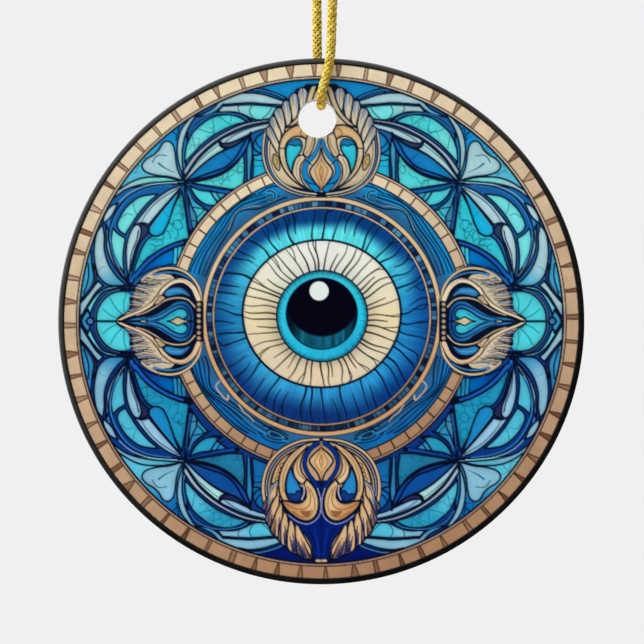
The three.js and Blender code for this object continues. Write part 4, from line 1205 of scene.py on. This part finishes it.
def paint_bottom_emblem(art):
    """The bottom emblem: a bud under a pointed arch, two big gold loops and folded feather wings."""
    where = "bottom"
    brown = (88, 54, 34)
    outline = [(0, 16.1), (2.4, 16.3), (4.6, 16.9), (6.4, 18.2), (7.5, 19.8), (8.15, 21.6), (8.3, 23.4),
        (8.1, 25.2), (7.7, 26.8), (7.6, 28.2), (6.9, 29.7), (5.8, 31.1), (4.5, 32.3), (3.2, 33.2), (2.0,
        33.7), (1.0, 33.8), (0, 33.8)]
    art.fill(smooth(outline), "ink", where, dark_edge=0)
    art.fill(smooth([(0, 16.6), (4.4, 17.8), (6.6, 20.2), (7.2, 23.0), (5.6, 25.0), (2.0, 24.0), (0,
        22.0)]), (182, 148, 112), where)
    art.cell([[(0, 22.0), (2.2, 22.4), (4.2, 26.0), (4.4, 28.0), (2.8, 29.2), (1.8, 30.6), (1.1, 32.6),
        (0.9, 33.4), (0, 33.4)]], (2, 26, 106), 0, where)
    art.stroke([(0.9, 29.0), (0.6, 31.0), (0.3, 33.0)], 0.14, (8, 44, 134), where=where)
    art.stroke([(1.9, 29.0), (1.2, 30.4), (0.8, 32.2)], 0.16, (2, 10, 50), where=where)
    hoops = [(0.4, 16.35), (2.6, 16.55), (4.6, 17.3), (6.3, 18.5), (7.4, 20.1), (7.95, 21.8), (8.05,
        23.5), (7.85, 25.0)]
    for inset, width, tone in ((0, 0.36, (200, 166, 126)), (0.44, 0.16, (160, 160, 178)), (0.8, 0.2, (176,
            150, 124))):
        line = [(x * (1 - inset / 8.2), z + inset * (0.9 - 0.9 * (z - 16.3) / 9)) for x, z in hoops]
        art.stroke(line, width + 0.26, "ink", (0.7, 1), where)
        art.stroke(line, width, tone, (0.7, 1), where)
    art.cell([[(3.2, 17.8), (5.0, 18.7), (6.2, 20.1), (6.8, 21.8), (6.9, 22.6)], [(6.9, 22.6), (6.0,
        22.0), (5.6, 20.8), (4.8, 19.4), (3.2, 17.8)]], (212, 174, 126), 0.16, where)
    for t in (0, 0.3, 0.6, 0.9):
        art.stroke([(5.3 + 0.8 * t, 19.6 + 2.2 * t), (5.75 + 0.7 * t, 19.9 + 2.0 * t), (5.6 + 0.8 * t,
            20.4 + 2.0 * t)], 0.13, brown, where=where)
    wing = [(6.5, 22.6), (7.3, 25.0), (7.2, 27.4), (6.4, 29.6), (5.2, 31.2), (3.6, 32.6), (1.6, 33.4),
        (1.4, 31.8), (2.4, 29.9), (4.4, 28.0), (5.6, 25.4), (6.5, 22.6)]
    art.fill(smooth(wing), (206, 166, 120), where)
    roots = [(6.3, 22.8), (6.0, 24.2), (5.6, 25.6), (5.0, 26.8), (4.2, 27.9), (3.4, 28.6)]
    tips = [(7.35, 27.2), (6.9, 28.9), (6.05, 30.3), (4.9, 31.6), (3.5, 32.7), (1.9, 33.4)]
    blues = ((14, 26, 86), (206, 166, 118), (12, 18, 66), (120, 78, 50), (18, 32, 98), (10, 14, 54))
    for k, (root, tip) in enumerate(zip(roots, tips)):
        tones = [blues[(5 * k + i) % len(blues)] for i in range(6)]
        feather(art, root, tip, 1.85, where, (212, 174, 128), tones, 0.14, 0.25)
    art.stroke([(6.0, 22.2), (6.8, 23.0), (7.25, 24.2), (7.2, 25.4)], 0.5, "ink", (0.6, 0.6), where)
    art.stroke([(6.0, 22.2), (6.8, 23.0), (7.25, 24.2), (7.2, 25.4)], 0.3, (150, 174, 204), (0.6, 0.5),
        where)
    art.cell([[(0.6, 16.6), (2.2, 17.0), (3.9, 18.1), (5.1, 19.6), (5.8, 21.5), (5.85, 23.4), (5.4,
        24.9)], [(5.4, 24.9), (4.5, 25.0), (4.95, 23.6), (4.9, 22.0), (4.3, 20.3), (3.3, 18.8), (2.0,
        17.7), (0.6, 16.6)]], (214, 176, 126), 0.22, where)
    art.stroke([(3.0, 17.8), (4.5, 19.5), (5.3, 21.6), (5.3, 23.6)], 0.1, brown, (0.4, 1), where)
    drop = [(4.2, 20.1), (4.75, 21.6), (4.9, 23.2), (4.5, 24.4), (3.6, 25.0), (2.85, 24.7), (2.7, 23.6),
        (3.1, 22.5), (3.8, 21.4), (4.2, 20.1)]
    art.cell([drop], (36, 126, 188), 0.24, where)
    crest = [(2.75, 23.6), (3.3, 23.5), (3.7, 24.0), (4.2, 23.9), (4.75, 24.0)]
    art.fill(smooth([*crest, (4.3, 24.6), (3.6, 24.95), (2.9, 24.65), (2.75, 23.6)]), (16, 54, 134), where)
    art.stroke(crest, 0.16, where=where)
    art.cell([[(1.9, 17.3), (3.1, 18.6), (3.85, 20.0), (3.8, 21.2), (3.3, 22.1), (2.6, 22.6)], [(2.6,
        22.6), (2.0, 21.9), (2.6, 21.1), (2.9, 20.1), (2.7, 18.9), (1.9, 17.3)]], (222, 190, 144), 0.18,
        where)
    art.stroke([(2.5, 18.1), (3.3, 19.4), (3.35, 20.6), (2.9, 21.4), (2.2, 21.9)], 0.13, brown, (0.5, 1),
        where)
    arch = [(0.5, 16.9), (1.5, 17.7), (2.15, 18.8), (2.3, 19.9), (1.85, 21.1), (1.1, 22.1), (0.5, 23.2)]
    art.stroke(arch, 1.2, "ink", (0.6, 0.5), where)
    art.stroke(arch, 0.94, (6, 42, 122), (0.6, 0.4), where)
    loop_outside = [(5.5, 24.9), (5.0, 26.0), (4.0, 27.0), (2.8, 27.8), (1.7, 27.9), (0.8, 27.2), (0.4,
        26.0), (0.4, 24.6), (0.9, 23.1), (1.9, 21.9)]
    loop_inside = [(1.9, 21.9), (2.4, 22.5), (2.15, 23.5), (2.15, 24.5), (2.8, 25.2), (3.7, 25.25), (4.45,
        25.0)]
    art.cell([loop_outside, loop_inside, [(4.45, 25.0), (5.5, 24.9)]], (216, 180, 130), 0.26, where,
        to=(190, 132, 84), towards=((1.4, 24.6), (3.8, 27.0)))
    art.stroke([(5.0, 25.3), (3.6, 26.1), (2.3, 26.1), (1.6, 25.4), (1.5, 24.2), (1.9, 22.9)], 0.17,
        brown, (0.5, 0.7), where)
    art.stroke([(4.0, 26.5), (2.7, 27.3), (1.7, 27.2), (1.0, 26.2), (0.95, 24.8), (1.5, 23.2)], 0.15,
        brown, (0.5, 0.6), where)
    art.fill(smooth([(1.3, 26.3), (2.0, 26.45), (2.9, 26.4), (2.5, 27.05), (1.8, 27.2), (1.3, 26.3)]),
        (150, 100, 60), where)
    art.stroke([(2.45, 22.7), (2.35, 23.7), (2.7, 24.75)], 0.28, (206, 190, 160), (0.6, 0.6), where)
    art.stroke([(4.6, 27.0), (3.3, 28.0), (1.9, 28.35), (0.8, 27.8), (0.12, 26.6), (0.12, 24.6), (0.5,
        23.2)], 0.2, (180, 178, 188), (0.5, 0.6), where)
    paint_bud(art, where, 22.7, 19.4, 17.5, 1.65, (214, 176, 124))
    art.cell([[(0, 33.45), (0.75, 33.45), (0.9, 33.75), (0.6, 34.0), (0, 34.0)]], "cream", 0.16, where)


def paint_star(art):
    """The knots where the petals meet."""
    x, z = STAR
    for px, pz, width in ((0.5, 1.2, 0.16), (-0.2, -1.4, 0.2), (-1.4, 0.15, 0.16), (1.4, -0.3, 0.16),
            (1.0, -1.1, 0.16), (-1.0, 1.1, 0.16)):
        art.stroke([STAR, (x + px / 2, z + pz / 2), (x + px, z + pz)], width, "ink", (1.4, 0.2))
    art.stroke([KNOT, (26.8, 5.8), (26.9, 7.2)], 0.3, "ink", (1.4, 0.2))
    art.stroke([KNOT, (26.0, 4.9), (25.3, 4.9)], 0.3, "ink", (1.0, 0.8))


def paint_picture(spacing):
    art = Picture(print_radius + 0.5, spacing)
    paint_corner_petals(art)
    paint_upper_petals(art)
    paint_stems(art)
    paint_spokes(art)
    paint_side_petals(art)
    paint_outer_side(art)
    paint_ring_arcs(art)
    paint_star(art)
    paint_eye_rings(art)
    paint_blue_ring(art)
    paint_white_ring(art)
    paint_iris(art)
    paint_side_emblem(art)
    paint_top_emblem(art)
    paint_bottom_emblem(art)
    paint_border(art)
    return art


# ---- The print's mesh ----


def print_mesh(art, hole):
    """One flat sheet of small squares, cut to the disc and round the hole, with a colour at each point."""
    count = len(art.axis)
    x = art.x.copy()
    z = art.z.copy()
    step = art.spacing
    from_hole = np.hypot(x - hole[0], z - hole[1])
    r = np.hypot(x, z)
    keep = (r < print_radius + step * 0.5) & (from_hole > hole_mouth - step * 0.5)
    square = keep[:-1, :-1] & keep[1:, :-1] & keep[:-1, 1:] & keep[1:, 1:]
    index = np.arange(count * count).reshape(count, count)
    faces = np.stack([index[:-1, :-1][square], index[:-1, 1:][square], index[1:, 1:][square], index[1:,
        :-1][square]], axis=1)
    uses = np.bincount(faces.ravel(), minlength=count * count).reshape(count, count)
    rim = (uses > 0) & (uses < 4)
    outer = rim & (r > print_radius / 2) & (from_hole > hole_mouth + 2 * step)
    inner = rim & ~outer
    x[outer] *= print_radius / r[outer]
    z[outer] *= print_radius / r[outer]
    x[inner] = hole[0] + (x[inner] - hole[0]) * hole_mouth / from_hole[inner]
    z[inner] = hole[1] + (z[inner] - hole[1]) * hole_mouth / from_hole[inner]
    used = np.flatnonzero(uses.ravel())
    renumber = np.full(count * count, -1)
    renumber[used] = np.arange(len(used))
    points = np.stack([x.ravel()[used], np.zeros(len(used)), z.ravel()[used]], axis=1)
    colours = np.ones((len(used), 4))
    colours[:, :3] = to_linear(np.clip(art.rgb.reshape(-1, 3)[used], 0, 255))
    return points, renumber[faces], colours


def make_print(name, node, art_mesh, y, facing_back, material):
    points, faces, colours = art_mesh
    placed = points * MM * ([-1, 1, 1] if facing_back else [1, 1, 1]) + [disc_centre.x, y, disc_centre.z]
    if not facing_back:
        faces = faces[:, ::-1]
    made = new_object(name, placed, faces.tolist(), material, shade_smooth=False)
    attribute = made.data.color_attributes.new("picture", "FLOAT_COLOR", "POINT")
    attribute.data.foreach_set("color", colours.astype(np.float32).ravel())
    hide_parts(node)
    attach(made, "disc")
    return made


def make_ceramic(material):
    """The white body inside: a disc under the prints, with the hole's rounded mouths showing."""
    turns = 180
    edge = 0.12
    front = half_thickness - 0.02
    reach = print_radius - 0.1
    angles = np.linspace(0, 2 * math.pi, turns, endpoint=False)
    around = np.stack([np.cos(angles), np.sin(angles)], axis=1)
    loops = []
    for y in (-front, front):
        loops.append((around * reach, y))
    mouth = []
    for sign in (1, -1):
        for i in range(7):
            a = math.radians(90 * i / 6)
            depth = front - edge + edge * (math.cos(a) if sign > 0 else math.sin(a))
            radius = hole_radius + edge - edge * (math.sin(a) if sign > 0 else math.cos(a))
            mouth.append((around * radius + hole_place, sign * depth))
    rings = [loops[0], loops[1], *mouth]
    vertices = np.vstack([np.column_stack([p[:, 0], np.full(turns, y), p[:, 1]]) for p, y in rings])
    index = np.arange(len(rings) * turns).reshape(len(rings), turns)
    order = [0, 1, *range(2, len(rings)), 0]
    faces = []
    for a, b in zip(order, order[1:]):
        one = index[a]
        two = index[b]
        faces += np.stack([one, two, np.roll(two, -1), np.roll(one, -1)], axis=1).tolist()
    made = new_object("porcelain_body", vertices * MM + np.array(disc_centre), faces, material)
    made.data.polygons.foreach_set("use_smooth", [False] * len(faces))
    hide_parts("ceramic_disc")
    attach(made, "disc")


def make_rim(material):
    """The dark glaze over the disc's rounded edge, turned about the disc's axis."""
    steps = 10
    turns = 240
    flat = disc_radius - rim_rounding
    profile = []
    for centre_y, first in ((-(half_thickness - rim_rounding), -90), (half_thickness - rim_rounding, 0)):
        for i in range(steps + 1):
            a = math.radians(first + 90 * i / steps)
            profile.append((flat + rim_rounding * math.cos(a), centre_y + rim_rounding * math.sin(a)))
    inner = [(flat - 0.02, half_thickness - 0.1), (flat - 0.02, -half_thickness + 0.1)]
    profile += inner
    profile = np.array(profile)
    angles = np.linspace(0, 2 * math.pi, turns, endpoint=False)
    vertices = np.stack([np.outer(np.cos(angles), profile[:, 0]), np.broadcast_to(profile[:, 1], (turns,
        len(profile))), np.outer(np.sin(angles), profile[:, 0])], axis=-1).reshape(-1, 3)
    index = np.arange(turns * len(profile)).reshape(turns, len(profile))
    right = np.roll(index, -1, axis=0)
    faces = np.stack([index, np.roll(index, -1, axis=1), np.roll(right, -1, axis=1), right],
        axis=-1).reshape(-1, 4)
    made = new_object("rim_glaze_band", vertices * MM + np.array(disc_centre), faces.tolist(), material)
    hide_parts("rim_glaze")
    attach(made, "disc")


# ---- Stage and light ----


def make_floor():
    """A pale floor well below the ornament that fades into the backdrop."""
    material, nodes, links, shader = new_material("pale_floor")
    shader.inputs["Base Color"].default_value = (0.84, 0.84, 0.84, 1)
    shader.inputs["Roughness"].default_value = 0.9
    coordinate = nodes.new("ShaderNodeTexCoord")
    length = nodes.new("ShaderNodeVectorMath")
    length.operation = "LENGTH"
    fade = nodes.new("ShaderNodeMapRange")
    fade.interpolation_type = "SMOOTHSTEP"
    fade.inputs["From Min"].default_value = 0.12
    fade.inputs["From Max"].default_value = 0.40
    fade.inputs["To Min"].default_value = 1
    fade.inputs["To Max"].default_value = 0
    links.new(coordinate.outputs["Object"], length.inputs[0])
    links.new(length.outputs["Value"], fade.inputs["Value"])
    links.new(fade.outputs["Result"], shader.inputs["Alpha"])
    outline = [(0.42 * math.cos(a), 0.42 * math.sin(a), 0) for a in np.linspace(0, 2 * math.pi, 96,
        endpoint=False)]
    floor = new_object("floor", outline, [list(range(96))], material, shade_smooth=False)
    floor.location = (0, 0, rim_low.z - 0.06)
    floor.visible_glossy = False


def make_world():
    """Pale surroundings, brighter up to the left, with a dark patch facing each side of the disc."""
    world = bpy.data.worlds.new("studio")
    bpy.context.scene.world = world
    world.use_nodes = True
    nodes = world.node_tree.nodes
    links = world.node_tree.links
    background = nodes["Background"]
    coordinate = nodes.new("ShaderNodeTexCoord")

    def towards(direction):
        dot = nodes.new("ShaderNodeVectorMath")
        dot.operation = "DOT_PRODUCT"
        dot.inputs[1].default_value = Vector(direction).normalized()
        links.new(coordinate.outputs["Generated"], dot.inputs[0])
        return dot.outputs["Value"]

    def between(value, low, high, first, last):
        node = nodes.new("ShaderNodeMapRange")
        node.interpolation_type = "SMOOTHSTEP"
        for name, number in zip(("From Min", "From Max", "To Min", "To Max"), (low, high, first, last)):
            node.inputs[name].default_value = number
        links.new(value, node.inputs["Value"])
        return node.outputs["Result"]

    def combine(operation, a, b):
        node = nodes.new("ShaderNodeMath")
        node.operation = operation
        for socket, value in zip(node.inputs, (a, b)):
            if isinstance(value, (int, float)):
                socket.default_value = value
            else:
                links.new(value, socket)
        return node.outputs["Value"]

    front_key = between(towards((-0.55, -0.45, 0.7)), -0.15, 0.85, 0, KEY_GLOW)
    back_key = between(towards((-0.45, 0.45, 0.7)), -0.15, 0.85, 0, KEY_GLOW)
    front_patch = between(towards((0, -1, 0)), 0.80, 0.95, 1, 0.03)
    back_patch = between(towards((0, 1, 0)), 0.80, 0.95, 1, 0.03)
    ambient = between(towards((-0.62, 0, 1)), -0.6, 0.7, 0.04, AMBIENT)
    glow = combine("ADD", combine("ADD", front_key, back_key), ambient)
    light = combine("MULTIPLY", combine("MULTIPLY", glow, front_patch), back_patch)
    path = nodes.new("ShaderNodeLightPath")
    mix = nodes.new("ShaderNodeMix")
    mix.data_type = "FLOAT"
    links.new(path.outputs["Is Camera Ray"], mix.inputs["Factor"])
    links.new(light, mix.inputs["A"])
    mix.inputs["B"].default_value = BACKDROP
    links.new(mix.outputs["Result"], background.inputs["Strength"])
    background.inputs["Color"].default_value = (1, 1, 1, 1)


AMBIENT = 0.56
KEY_GLOW = 1.1
BACKDROP = 0.871

# ---- Building ----

scene = bpy.context.scene
scene.view_settings.view_transform = "Standard"

gold = gold_material()
cord, line = make_cord(gold)
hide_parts("cord_right_bow", "cord_front_strand", "cord_bight", "cord_rear_strand",
    "cord_left_bow", "cord_left_tail", "cord_right_tail", "cord_knot")
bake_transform(cord)

make_ceramic(porcelain_material())
glaze = print_material()
FINE_SPACING = 0.12
picture = paint_picture(FINE_SPACING)
make_print("front_picture", "front_print", print_mesh(picture, hole_place), rim_low.y, False, glaze)
mirrored_hole = (-hole_place[0], hole_place[1])
make_print("back_picture", "back_print", print_mesh(picture, mirrored_hole), rim_high.y, True, glaze)
make_rim(rim_material())
make_floor()
make_world()
